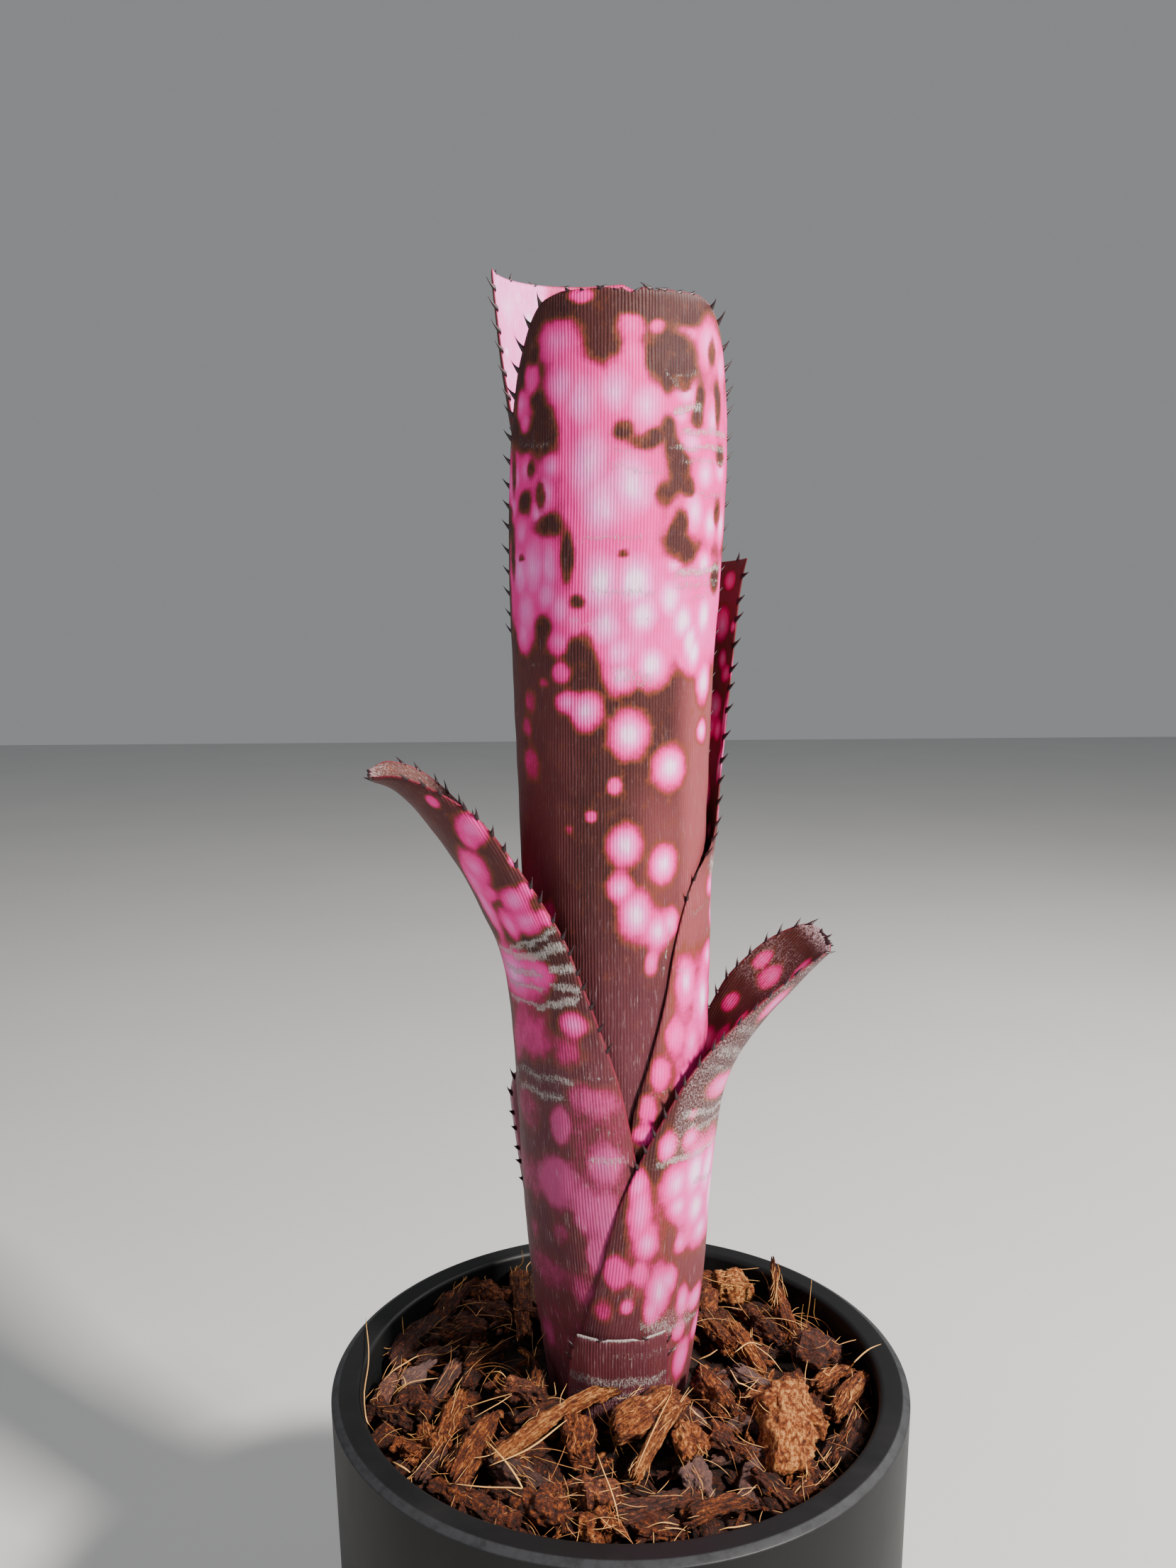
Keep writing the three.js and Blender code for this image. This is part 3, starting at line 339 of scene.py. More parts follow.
# Silver cross-bands: azimuths from and to, heights there, half-height, strength
BANDS = {
    "leaf_front_tall": (
        (296, 314, 199.3, 200.8, 0.5, 0.5), (296, 316, 193, 195.3, 0.8, 0.9),
        (300, 348, 190, 191.4, 0.7, 0.75), (296, 346, 187, 188.6, 0.6, 0.7),
        (300, 348, 184.8, 186, 0.5, 0.6), (312, 346, 179, 179.8, 0.5, 0.6),
        (300, 346, 164.4, 166.4, 0.8, 0.85), (300, 344, 162, 163.8, 0.6, 0.6),
        (312, 346, 160, 161.6, 0.5, 0.5), (264, 296, 183.5, 182.5, 0.5, 0.5),
        (262, 298, 186.5, 185.5, 0.4, 0.4), (250, 284, 170.5, 171.2, 0.5, 0.6),
        (258, 292, 161.5, 160.8, 0.8, 0.5), (240, 262, 156, 155.4, 0.4, 0.5),
        (268, 292, 146.5, 145, 1.6, 0.5), (210, 236, 189, 188, 0.8, 0.4),
        (268, 298, 157, 155.6, 0.5, 0.4), (301, 307, 88.5, 99, 1.2, 0.8),
        (292, 302, 200.5, 197.6, 0.5, 0.6), (213, 232, 148.5, 147, 0.6, 0.3),
        (196, 202, 189, 189, 1.5, 0.5),
    ),
    "leaf_left_lower": (
        (213, 256, 92.6, 94.6, 0.55, 1), (215, 256, 90.7, 92.2, 0.8, 1),
        (240, 257, 88.6, 89, 0.75, 0.95), (238, 257, 86, 86, 0.6, 0.9),
        (226, 256, 81.6, 84.5, 0.75, 0.95), (196, 236, 92.2, 91.2, 0.7, 1),
        (196, 236, 88.9, 87.9, 0.6, 0.95), (196, 236, 85.6, 85.6, 0.6, 0.95),
        (196, 232, 82.4, 82.2, 0.6, 0.95), (198, 242, 64.2, 64.6, 0.9, 0.8),
        (198, 248, 67.6, 68.2, 0.9, 0.7), (248, 276, 69, 69.6, 0.4, 0.4),
        (254, 276, 52.8, 53, 0.8, 0.55), (258, 270, 59.4, 58.6, 0.3, 0.4), (184, 200, 92, 92, 3, 0.7),
        (184, 200, 66, 66, 2, 0.7), (130, 184, 90.5, 88, 1.4, 0.7), (140, 184, 85, 84, 0.8, 0.6),
        (134, 184, 67.5, 66, 1, 0.6), (120, 170, 46, 44, 1.2, 0.4),
    ),
    "leaf_right_lower": (
        (300, 352, 86.5, 86.5, 1.2, 0.5), (300, 352, 83, 82.6, 0.7, 0.5), (306, 352, 74.5, 74, 1, 0.6),
        (306, 352, 70.3, 69.6, 1.2, 0.7), (302, 352, 67.2, 66.4, 0.7, 0.6),
        (300, 352, 59.6, 59.2, 0.8, 0.8), (304, 352, 57.2, 56.9, 0.7, 0.7),
        (288, 352, 51.6, 52, 0.8, 0.8), (284, 306, 18.5, 16.8, 1.2, 0.6),
        (318, 348, 46, 44.5, 0.6, 0.7), (300, 340, 16.2, 15.4, 0.8, 0.6),
        (300, 330, 10.8, 10.2, 0.6, 0.5), (352, 440, 75, 72, 1.4, 0.6), (352, 430, 57, 54.6, 1, 0.6),
        (360, 430, 31, 29, 1.2, 0.4),
    ),
    "leaf_right_tall": (
        (340, 368, 107.5, 108.5, 2.4, 0.8), (318, 344, 99.5, 101, 0.7, 0.4),
        (304, 316, 89.5, 88.5, 0.5, 0.5), (330, 350, 95, 95.6, 0.5, 0.4),
        (366, 412, 112, 110, 1.6, 0.6), (396, 440, 104, 102, 1, 0.5), (372, 430, 85, 82.5, 1, 0.5),
        (370, 420, 141, 138.6, 1.2, 0.5), (380, 440, 55, 52, 1, 0.4), (284, 310, 64, 66, 0.8, 0.4),
    ),
    "leaf_back_tall": (
        (10, 120, 197, 193, 1.4, 0.6), (60, 170, 171, 168, 1, 0.5), (20, 90, 140, 137, 1.6, 0.6),
        (100, 176, 146, 148.5, 0.8, 0.5), (40, 150, 112, 109, 1.2, 0.5), (10, 80, 84, 82, 1, 0.4),
        (90, 170, 78, 80, 1.4, 0.5), (30, 120, 52, 50, 1.2, 0.4),
    ),
    "leaf_rear_small": (
        (120, 172, 40, 42, 4, 0.8), (100, 172, 52, 53, 2, 0.8), (84, 150, 24, 21, 1.4, 0.5),
    ),
    "leaf_base_stub": (
        (232, 306, 7, 6.2, 1.2, 0.62), (240, 300, 3, 3.4, 0.8, 0.5), (266, 304, 12.6, 12.4, 0.8, 0.3),
    ),
}

# Torn places in a leaf's end: azimuth, half-width in degrees, depth
NICKS = {
    "leaf_front_tall": ((276, 5, 0.9), (268, 2.5, 0.5), (288, 3, 0.4), (252, 2, 0.3), (300, 2, 0.3)),
    "leaf_base_stub": ((262, 3, 0.4), (285, 4, 0.5)),
}

# Leaves whose torn end shows a pale rim, and its width
TORN_PALE = ("leaf_base_stub",)
TORN_RIM = 0.45

# How strong a dim spot is (the dimming is painted shade), how much of a spot a dark patch hides,
# and the width of the dark red margin
SHADED_SPOT_STRENGTH = 0.5
DARK_OVER_SPOTS = 0.85
MARGIN_WIDTH = 0.32

# Where an outer leaf lies on the nest, its margins turn in this far, over this width; they no
# longer do where it stands off by the first distance, and do in full at the second
MARGIN_TUCK = 0.7
MARGIN_TUCK_WIDTH = 6
STANDING_OFF = (0.9, 0.1)

# How much of the dark red margin these leaves show
MARGIN_SHOWN = {"leaf_rear_small": 0.15, "leaf_right_tall": 0.3}

# The dusky mauve of a sheath, laid on more strongly where a leaf lies in shade, as painted shade:
# height where it starts, height where it is full, strength
SHEATH_MAUVE_AND_SHADE = {
    "leaf_left_lower": (96, 56, 0.85), "leaf_base_stub": (30, 20, 0.5), "leaf_front_tall": (112, 60, 0.75),
    "leaf_right_lower": (52, 24, 0.42),
}
SHEATH_MAUVE_AND_SHADE_ELSEWHERE = (62, 8, 0.55)

# Blades: how rows crowd towards the tip, how far the margins are thinned, and how the faces
# ripple (how much; how many waves, and the shortest and longest)
ROW_CROWDING = 1.25
THINNED_WIDTH = 0.7
THINNED_SHARE = 0.62
RIPPLE = 0.1
RIPPLE_WAVES = (14, 5, 22)

# Markings: how far a spot's edge and its pale middle reach, in its own half-sizes, how soft the
# edges of areas are in degrees and millimetres, how a silver band waves (size, pitch and shift of
# each wave), over what share of its length it ends, and how far it fades, in its own half-heights
SPOT_EDGE = (1.5, 0.45)
PALE_REACH = 1.1
WASH_SOFTNESS = (5, 4)
PAINTED_LIGHT_SOFTNESS = (12, 8)
SCURF_AND_LIGHT_SOFTNESS = (4, 2.4)
BAND_WAVES = ((0.22, 0.23, 1), (0.12, 0.61, 2))
BAND_END = (-0.08, 0.12)
BAND_FADE = (1.6, 0.4)

# Spines: half-sizes at the root, rake and hook, how far they flare from the outer face, how deep
# the root sits, and how their sizes and places stray
SPINE_SIDES = 6
SPINE_STEPS = 5
SPINE_HALF_BREADTH = 0.76
SPINE_HALF_DEPTH = 0.33
SPINE_RAKE = math.radians(30)
SPINE_FLARE = 0.25
SPINE_HOOK = 0.35
SPINE_ROOT = 0.35
SPINE_SIZES = (0.85, 1.12)
SPINE_STRAY = 0.16
TIP_SPINE_SHARE = 0.7


# Curves and random shapes


def smooth_curve(xs, ys):
    """A smooth curve through points in order of x that never overshoots them."""
    xs = np.asarray(xs, float)
    ys = np.asarray(ys, float)
    steps = np.diff(xs)
    slopes = np.diff(ys) / steps
    tangents = np.zeros(len(xs))
    tangents[0] = slopes[0]
    tangents[-1] = slopes[-1]
    for i in range(1, len(xs) - 1):
        a = slopes[i - 1]
        b = slopes[i]
        if a * b > 0:
            before = 2 * steps[i] + steps[i - 1]
            after = steps[i] + 2 * steps[i - 1]
            tangents[i] = (before + after) / (before / a + after / b)

    def value(x):
        x = np.clip(x, xs[0], xs[-1])
        i = np.clip(np.searchsorted(xs, x, side="right") - 1, 0, len(xs) - 2)
        t = (x - xs[i]) / steps[i]
        rise = (1 + 2 * t) * (1 - t) ** 2 * ys[i] + t * t * (3 - 2 * t) * ys[i + 1]
        turn = t * (1 - t) ** 2 * tangents[i] + t * t * (t - 1) * tangents[i + 1]
        return rise + steps[i] * turn

    return value


def curve_of(pairs):
    xs, ys = zip(*pairs)
    return smooth_curve(xs, ys)


nest_radius = curve_of(NEST_PROFILE)
axis_lean = curve_of(AXIS_LEAN)


def smooth_step(low, high, x):
    t = np.clip((x - low) / (high - low), 0, 1)
    return t * t * (3 - 2 * t)


def waves(rng, count, low, high):
    """Directions, pitches and phases for a sum of waves that stands in for a rough surface."""
    directions = rng.normal(size=(count, 3))
    directions /= np.linalg.norm(directions, axis=1)[:, None]
    pitches = low * (high / low) ** rng.random(count)
    return directions / pitches[:, None] * 2 * math.pi, rng.random(count) * 2 * math.pi


def rough(points, field):
    vectors, phases = field
    return np.sin(points @ vectors.T + phases).mean(axis=-1) * 2


def make_object(name, points, faces, materials, slots=None, smooth=True):
    mesh = bpy.data.meshes.new(name)
    mesh.from_pydata((np.asarray(points, float) * MM).tolist(), [], faces)
    mesh.update()
    for material in materials:
        mesh.materials.append(material)
    if slots is not None:
        mesh.polygons.foreach_set("material_index", np.asarray(slots, np.int32))
    mesh.polygons.foreach_set("use_smooth", [smooth] * len(mesh.polygons))
    obj = bpy.data.objects.new(name, mesh)
    bpy.context.scene.collection.objects.link(obj)
    return obj


def add_attribute(obj, name, values):
    attribute = obj.data.attributes.new(name, "FLOAT", "POINT")
    attribute.data.foreach_set("value", np.asarray(values, np.float32))


def grid_faces(rows, columns, offset=0, flip=False):
    i, j = np.meshgrid(np.arange(rows - 1), np.arange(columns - 1), indexing="ij")
    a = (i * columns + j).ravel() + offset
    quads = np.stack([a, a + 1, a + columns + 1, a + columns], axis=1)
    if flip:
        quads = quads[:, ::-1]
    return quads.tolist()


def ring_faces(rings, sides):
    """Faces between rings of points, from each ring to the next."""
    faces = []
    for i in range(rings - 1):
        for k in range(sides):
            a = i * sides + k
            b = i * sides + (k + 1) % sides
            faces.append((a, b, b + sides, a + sides))
    return faces


# Materials

HUSK_TONES = (
    (0.0, (0.008, 0.0018, 0.001)), (0.25, (0.05, 0.009, 0.0028)), (0.48, (0.145, 0.027, 0.0052)),
    (0.72, (0.42, 0.108, 0.0185)), (1.0, (0.84, 0.4, 0.13)),
)
KNOBS_PER_MM = 0.85
LEAF_DARK = (0.028, 0.0052, 0.0056)
LEAF_BROWN = (0.046, 0.0095, 0.009)
LEAF_MAUVE = (0.095, 0.021, 0.032)
# painted light where light shows through or falls on the leaf
LEAF_PAINTED_LIGHT = (0.33, 0.07, 0.085)
INNER_DARK = (0.066, 0.021, 0.015)
VEIN_TONE = (0.105, 0.032, 0.031)
FLECK_TONE = (0.34, 0.17, 0.165)
SPOT_RING = (0.36, 0.007, 0.075)
SPOT_FRINGE = (0.16, 0.042, 0.012)
SPOT_BODY = (0.86, 0.02, 0.29)
SPOT_PALE = (0.96, 0.23, 0.66)
SPOT_WHITE = (1.0, 0.72, 0.98)
SPOT_SHADED = (0.27, 0.058, 0.13)
SILVER = (0.43, 0.4, 0.38)
SCURF_AND_LIGHT_TONE = (0.88, 0.68, 0.72)
MARGIN_RED = (0.17, 0.01, 0.028)
POT_TONES = ((0.0045, 0.0046, 0.005), (0.0085, 0.0086, 0.009))
POT_SMEAR = (0.16, 0.155, 0.15)
POT_DUST = (0.24, 0.22, 0.2)
# painted highlight on the rim's chamfer
POT_CHAMFER_HIGHLIGHT = (0.028, 0.029, 0.032)
HUSK_GREYS = ((0.045, 0.02, 0.022), (0.36, 0.22, 0.2))
FIBRE_TONES = ((0.24, 0.065, 0.014), (0.78, 0.42, 0.13))
FIBRE_MOTTLE = (0.36, 0.16, 0.05)
SPINE_TONES = ((0.009, 0.002, 0.004), (0.034, 0.007, 0.011))
STEM_TONES = ((0.16, 0.08, 0.035), (0.5, 0.36, 0.18))
FLOOR_TONES = ((0.5, 0.5, 0.5), (0.56, 0.56, 0.555))
VEIN_PITCH = 0.62


class Value:
    """A node's output that adds, subtracts and multiplies like a number."""

    def __init__(self, nodes, socket):
        self.nodes = nodes
        self.socket = socket

    def __add__(self, other):
        return self.nodes.math("ADD", self, other)

    def __sub__(self, other):
        return self.nodes.math("SUBTRACT", self, other)

    def __rsub__(self, other):
        return self.nodes.math("SUBTRACT", other, self)

    def __mul__(self, other):
        return self.nodes.math("MULTIPLY", self, other)

    def clamped(self):
        self.socket.node.use_clamp = True
        return self


class Nodes:
    """A new material, with short ways to add and join its nodes."""

    def __init__(self, name):
        self.material = bpy.data.materials.new(name)
        self.material.use_nodes = True
        self.tree = self.material.node_tree
        self.shader = self.tree.nodes["Principled BSDF"]

    def put(self, value, socket):
        if isinstance(value, Value):
            self.tree.links.new(value.socket, socket)
        elif socket.type == "RGBA":
            socket.default_value = (*value, 1.0)
        else:
            socket.default_value = value

    def node(self, kind, output, inputs, **settings):
        """An output of a new node that has these inputs and settings."""
        made = self.tree.nodes.new(kind)
        for key, value in settings.items():
            setattr(made, key, value)
        for key, value in inputs.items():
            self.put(value, made.inputs[key])
        return Value(self, made.outputs[output])

    def attribute(self, name, output="Fac"):
        return self.node("ShaderNodeAttribute", output, {}, attribute_name=name)

    def place(self):
        return self.node("ShaderNodeTexCoord", "Object", {})

    def math(self, operation, a, b=0.0):
        return self.node("ShaderNodeMath", 0, {0: a, 1: b}, operation=operation)

    def scaled(self, vector, factors):
        return self.node("ShaderNodeVectorMath", 0, {0: vector, 1: factors}, operation="MULTIPLY")

    def mix(self, share, a, b):
        inputs = {"Factor": share, "A": a, "B": b}
        return self.node("ShaderNodeMix", "Result", inputs, data_type="RGBA")

    def noise(self, vector, scale, detail=3.0, roughness=0.55):
        inputs = {"Scale": scale, "Detail": detail, "Roughness": roughness}
        if vector is not None:
            inputs["Vector"] = vector
        return self.node("ShaderNodeTexNoise", 0, inputs)

    def between(self, value, low, high):
        """0 below the low value, 1 above the high one, and smooth from one to the other."""
        inputs = {"Value": value, "From Min": low, "From Max": high}
        return self.node("ShaderNodeMapRange", 0, inputs, interpolation_type="SMOOTHSTEP")

    def bump(self, height, strength, distance, normal=None):
        inputs = {"Height": height, "Strength": strength, "Distance": distance}
        if normal is not None:
            inputs["Normal"] = normal
        return self.node("ShaderNodeBump", 0, inputs)

    def finish(self, **values):
        for key, value in values.items():
            self.put(value, self.shader.inputs[key.replace("_", " ")])
        return self.material


class BladeNodes(Nodes):
    """Nodes that know a place on a leaf: millimetres across and along it, and which face it is."""

    def __init__(self, name):
        super().__init__(name)
        self.across = self.attribute("across")
        inputs = {"X": self.across, "Y": self.attribute("along"), "Z": self.attribute("inner")}
        self.where = self.node("ShaderNodeCombineXYZ", 0, inputs)

    def grain(self, across, along, detail=3.0, roughness=0.55, face=5.0):
        """Noise of these pitches per millimetre, with another pattern on the inner face."""
        return self.noise(self.scaled(self.where, (across, along, face)), 1.0, detail, roughness)


def leaf_ground(n, vein, dots):
    """The leaf's dark ground with its veins and flecks, the sheaths' mauve, which is partly painted shade,
    and painted light where light shows through.
    """
    tone = n.mix(n.between(n.grain(0.12, 0.1), 0.3, 0.7), LEAF_DARK, LEAF_BROWN)
    for name, tint in (("inner", INNER_DARK), ("warm", LEAF_MAUVE), ("flush", LEAF_PAINTED_LIGHT)):
        tone = n.mix(n.attribute(name), tone, tint)
    tone = n.mix(vein * 0.42, tone, VEIN_TONE)
    return n.mix(n.between(dots, 0.6, 0.74) * 0.5, tone, FLECK_TONE)


def leaf_spots(n, vein, ground):
    """Blurred spots, hot pink with a paler middle, and how much of them there is."""
    blur = n.grain(0.4, 0.34, 4.0, 0.6)
    grit = n.grain(2.6, 1.5, 3.0, 0.7)
    soft = n.attribute("spot") + (blur - 0.5) * 0.7 + (grit - 0.5) * 0.3
    body = n.between(soft, 0.3, 0.92)
    tone = n.mix(n.between(soft, 0.02, 0.24) * 0.7, ground, SPOT_FRINGE)
    tone = n.mix(n.between(soft, 0.14, 0.56), tone, SPOT_RING)
    tone = n.mix(body, tone, SPOT_BODY)
    cloud = n.grain(0.16, 0.13, 3.0, 0.6)
    streak = n.grain(2.4, 0.16, 3.0, 0.6)
    pale = (n.attribute("pale") + (cloud - 0.5) * 0.55).clamped()
    pale = (pale * (streak * 0.6 + 0.6)).clamped()
    tone = n.mix(n.between(pale, 0.0, 0.7) * body, tone, SPOT_PALE)
    tone = n.mix(n.between(pale, 0.5, 1.0) * body, tone, SPOT_WHITE)
    tone = n.mix(vein * 0.2 * body, tone, SPOT_RING)
    # in the sheaths the spots turn dusky mauve: partly the sheath's own colour, partly painted shade
    shaded = n.mix(body, LEAF_MAUVE, SPOT_SHADED)
    return n.mix(n.attribute("warm") * 0.85, tone, shaded), body


def leaf_material():
    n = BladeNodes("leaf")
    # fine lengthwise veins, and dots in rows along them
    wander = n.grain(0.5, 0.06, 2.0, face=3.0)
    phase = n.across * (2 * math.pi / VEIN_PITCH) + wander * 5.0
    vein = n.math("SINE", phase) * 0.5 + 0.5
    dots = n.grain(1.9, 1.3, 4.0, 0.75)
    tone, body = leaf_spots(n, vein, leaf_ground(n, vein, dots))
    # silver bands of short hairs, broken and ragged
    band = n.attribute("silver")
    hair = n.grain(3.0, 2.4, 4.0, 0.8)
    strand = n.grain(3.2, 0.8, 3.0, 0.65)
    covered = band + (hair + strand - 1.0) * 2.2
    silver = n.between(covered, 0.4, 0.9) * n.between(band, 0.05, 0.2)
    tone = n.mix(silver * (hair * 0.6 + 0.36), tone, SILVER)
    # pale scurf: thin all over, in dashes on the sheaths, and thick in places, where on the rear
    # small leaf it is also painted light on faces in shade
    area = n.attribute("scurf")
    grains = n.noise(n.where, 2.4, 5.0, 0.8)
    thin = n.between(grains, 0.6, 0.78) * 0.16
    dashes = n.between(n.grain(3.4, 0.22, 5.0, 0.7), 0.56, 0.72) * (n.attribute("warm") * 0.3 + 0.1)
    thick = (n.between(area * 0.5 + grains, 0.66, 0.9) * (area * 1.2)).clamped()
    scurf = n.math("MAXIMUM", n.math("MAXIMUM", thin, dashes), thick)
    tone = n.mix(scurf, tone, SCURF_AND_LIGHT_TONE)
    tone = n.mix(n.attribute("edge") * 0.8, tone, MARGIN_RED)
    matt = n.math("MAXIMUM", silver, scurf)
    fine = n.bump(vein * 0.5 + matt * 0.8 + dots * 0.4, 0.8, 0.00014)
    return n.finish(
        Base_Color=tone, Roughness=(matt * 0.35 + body * -0.04 + (dots * 0.2 + 0.4)).clamped(),
        Normal=n.bump(n.grain(0.14, 0.05), 0.3, 0.0012, fine), Specular_IOR_Level=0.2,
        Subsurface_Weight=0.1, Subsurface_Radius=(0.0012, 0.0004, 0.0004), Subsurface_Scale=1.0,
    )


def mottled(n, grain, dark, light, rough_from, rough_by, dent, depth):
    """A material that one noise shades, roughens and dents."""
    return n.finish(
        Base_Color=n.mix(grain, dark, light), Roughness=grain * rough_by + rough_from,
        Normal=n.bump(grain, dent, depth),
    )


def spine_material():
    n = Nodes("spine")
    return mottled(n, n.noise(None, 900.0), *SPINE_TONES, 0.28, 0.25, 0.2, 0.0001)


def stem_material():
    n = Nodes("stem")
    rings = n.noise(n.scaled(n.place(), (1.0, 1.0, 6.0)), 160.0, 4.0)
    return mottled(n, rings, *STEM_TONES, 0.65, 0.2, 0.6, 0.0005)


def floor_material():
    n = Nodes("floor")
    return mottled(n, n.noise(n.place(), 5.0, 4.0), *FLOOR_TONES, 0.6, 0.1, 0.05, 0.001)


def pot_material():
    n = Nodes("pot_black")
    place = n.place()
    cloud = n.noise(place, 60.0, 4.0)
    dust = n.between(n.noise(place, 1300.0, 3.0, 0.7), 0.7, 0.82)
    smear = n.between(n.noise(n.scaled(place, (1.0, 1.0, 0.35)), 34.0, 5.0, 0.62), 0.5, 0.8)
    tone = n.mix(cloud, *POT_TONES)
    tone = n.mix(smear * 0.05, tone, POT_SMEAR)
    tone = n.mix(dust * 0.13, tone, POT_DUST)
    # the chamfer above the wall is painted lighter all round, a painted highlight broken up by noise
    flat = n.scaled(place, (1.0, 1.0, 0.0))
    radius = n.node("ShaderNodeVectorMath", "Value", {0: flat}, operation="LENGTH")
    height = n.node("ShaderNodeSeparateXYZ", "Z", {"Vector": place})
    inside = (RIM_RADIUS - RIM_CHAMFER_WIDTH) * MM
    below = (POT_HEIGHT - RIM_CHAMFER_DEPTH) * MM
    chamfer_highlight = n.between(radius, inside - 0.2 * MM, inside + 0.2 * MM)
    chamfer_highlight = chamfer_highlight * n.between(height, below - 0.3 * MM, below + 0.1 * MM)
    highlight_breaks = n.between(n.noise(place, 420.0, 4.0, 0.7), 0.3, 0.6)
    return n.finish(
        Base_Color=n.mix(chamfer_highlight * (highlight_breaks * 0.5 + 0.5), tone, POT_CHAMFER_HIGHLIGHT), Specular_IOR_Level=0.19,
        Roughness=smear * 0.1 + (cloud * 0.1 + 0.42),
        Normal=n.bump(n.noise(place, 2600.0, 2.0, 0.6), 0.22, 0.00008),
    )


def husk_material():
    n = Nodes("coconut_husk")
    grain = n.attribute("grain", "Vector")
    fibre = n.noise(n.scaled(grain, (0.16, 2.3, 2.3)), 1.0, 5.0, 0.65)
    pith = n.noise(grain, 1.3, 6.0, 0.75)
    blotch = n.noise(grain, 0.3, 3.0, 0.6)
    # stringy chips show their fibres, the others are pithy and knobbly
    stringy = n.attribute("stringy")
    pithy = 1.0 - stringy
    cells = n.node("ShaderNodeTexVoronoi", "Distance", {"Vector": grain, "Scale": KNOBS_PER_MM})
    knobs = (0.6 - cells) * pithy
    # the pith and knobs tint the colour as well as the bump: partly the husk's own mottling, partly painted
    # shade in the pits and painted highlight on the knob tops
    level = (fibre - 0.5) * (stringy * 1.4 + 0.5) + (pith - 0.5) * (pithy * 0.8 + 1.3)
    level = level + knobs * 0.5 + (blotch - 0.5) * 0.6 + n.attribute("tint")
    tone = n.node("ShaderNodeValToRGB", "Color", {"Fac": level})
    steps = tone.socket.node.color_ramp.elements
    while len(steps) < len(HUSK_TONES):
        steps.new(0.5)
    for step, (position, shade) in zip(steps, HUSK_TONES):
        step.position = position
        step.color = (*shade, 1.0)
    height = fibre * (stringy * 0.9) + pith * 0.7 + knobs * 0.5
    return n.finish(
        Base_Color=n.mix(n.attribute("cool"), tone, n.mix(pith, *HUSK_GREYS)), Roughness=0.92 - fibre * 0.25,
        Normal=n.bump(height, 1.0, 0.003), Specular_IOR_Level=0.35,
    )


def fibre_material():
    n = Nodes("husk_fibre")
    fine = n.noise(n.place(), 1500.0, 2.0)
    tone = n.mix(n.attribute("tint"), *FIBRE_TONES)
    return n.finish(
        Base_Color=n.mix(fine * 0.3, tone, FIBRE_MOTTLE), Roughness=fine * 0.2 + 0.5,
        Normal=n.bump(fine, 0.2, 0.0001),
    )


# Leaves


def leaf_curves(leaf):
    rows = [tuple(s) + (0, None, 0)[len(s) - 4:] for s in leaf["stations"]]
    heights = np.array([r[0] for r in rows], float)
    reach = nest_radius(heights) + leaf["layer"] * NEST_PITCH + np.array([r[1] for r in rows], float)
    steps = np.hypot(np.diff(heights), np.diff(reach))
    along = np.concatenate([[0], np.cumsum(steps)])
    gutter = [d if r[5] is None else r[5] for r, d in zip(rows, reach)]
    return {
        "length": along[-1],
        "h": smooth_curve(along, heights),
        "reach": smooth_curve(along, reach),
        "near": smooth_curve(along, [r[2] for r in rows]),
        "far": smooth_curve(along, [r[3] for r in rows]),
        "curl": smooth_curve(along, [r[4] for r in rows]),
        "gutter": smooth_curve(along, gutter),
        "skew": smooth_curve(along, [r[6] for r in rows]),
    }


def blade_places(leaf, curves, along, turn):
    """Points of the blade's outer face, and the way to its inner face, for arrays of lengths
    along the mid-line and angles round from it."""
    step = 0.1
    ahead = np.minimum(along + step, curves["length"])
    back = np.maximum(along - step, 0)
    rise_r = curves["reach"](ahead) - curves["reach"](back)
    rise_z = curves["h"](ahead) - curves["h"](back)
    size = np.hypot(rise_r, rise_z)
    rise_r = rise_r / size
    rise_z = rise_z / size
    curl = curves["curl"](along)
    in_r = -rise_z * curl - (1 - curl)
    in_z = rise_r * curl
    size = np.hypot(in_r, in_z)
    in_r = in_r / size
    in_z = in_z / size
    bend = curves["gutter"](along)
    height = curves["h"](along)
    out = curves["reach"](along) + in_r * bend * (1 - np.cos(turn))
    side = bend * np.sin(turn)
    z = POT_HEIGHT + height + in_z * bend * (1 - np.cos(turn)) + curves["skew"](along) * turn
    azimuth = math.radians(leaf["azimuth"])
    x = out * math.cos(azimuth) - side * math.sin(azimuth) + axis_lean(height)
    y = out * math.sin(azimuth) + side * math.cos(azimuth)
    way_r = in_r * np.cos(turn)
    way_x = way_r * math.cos(azimuth) + np.sin(turn) * math.sin(azimuth)
    way_y = way_r * math.sin(azimuth) - np.sin(turn) * math.cos(azimuth)
    way_z = in_z * np.cos(turn)
    return np.stack([x, y, z], axis=-1), np.stack([way_x, way_y, way_z], axis=-1)


def heel_places(leaf, turn):
    """The heel curves in under the nest to the stem: points and ways, row by row."""
    radius = INNER_HEEL_RADIUS + NEST_PITCH * (leaf["layer"] - INNER_LAYER)
    azimuth = math.radians(leaf["azimuth"]) + turn
    lean = axis_lean(HEEL_TOP)
    places = [(HEEL_START_RADIUS, HEEL_TOP - radius, 0, 1)]
    for i in range(HEEL_STEPS):
        bend = math.pi / 2 * i / HEEL_STEPS
        places.append(
            (
                HEEL_CENTRE_RADIUS + radius * math.sin(bend), HEEL_TOP - radius * math.cos(bend),
                -math.sin(bend), math.cos(bend),
            )
        )
    points = []
    ways = []
    for r, z, in_r, in_z in places:
        flat = np.ones_like(turn)
        points.append(
            np.stack([r * np.cos(azimuth) + lean, r * np.sin(azimuth), (POT_HEIGHT + z) * flat], axis=-1)
        )
        ways.append(np.stack([in_r * np.cos(azimuth), in_r * np.sin(azimuth), in_z * flat], axis=-1))
    return np.array(points), np.array(ways)


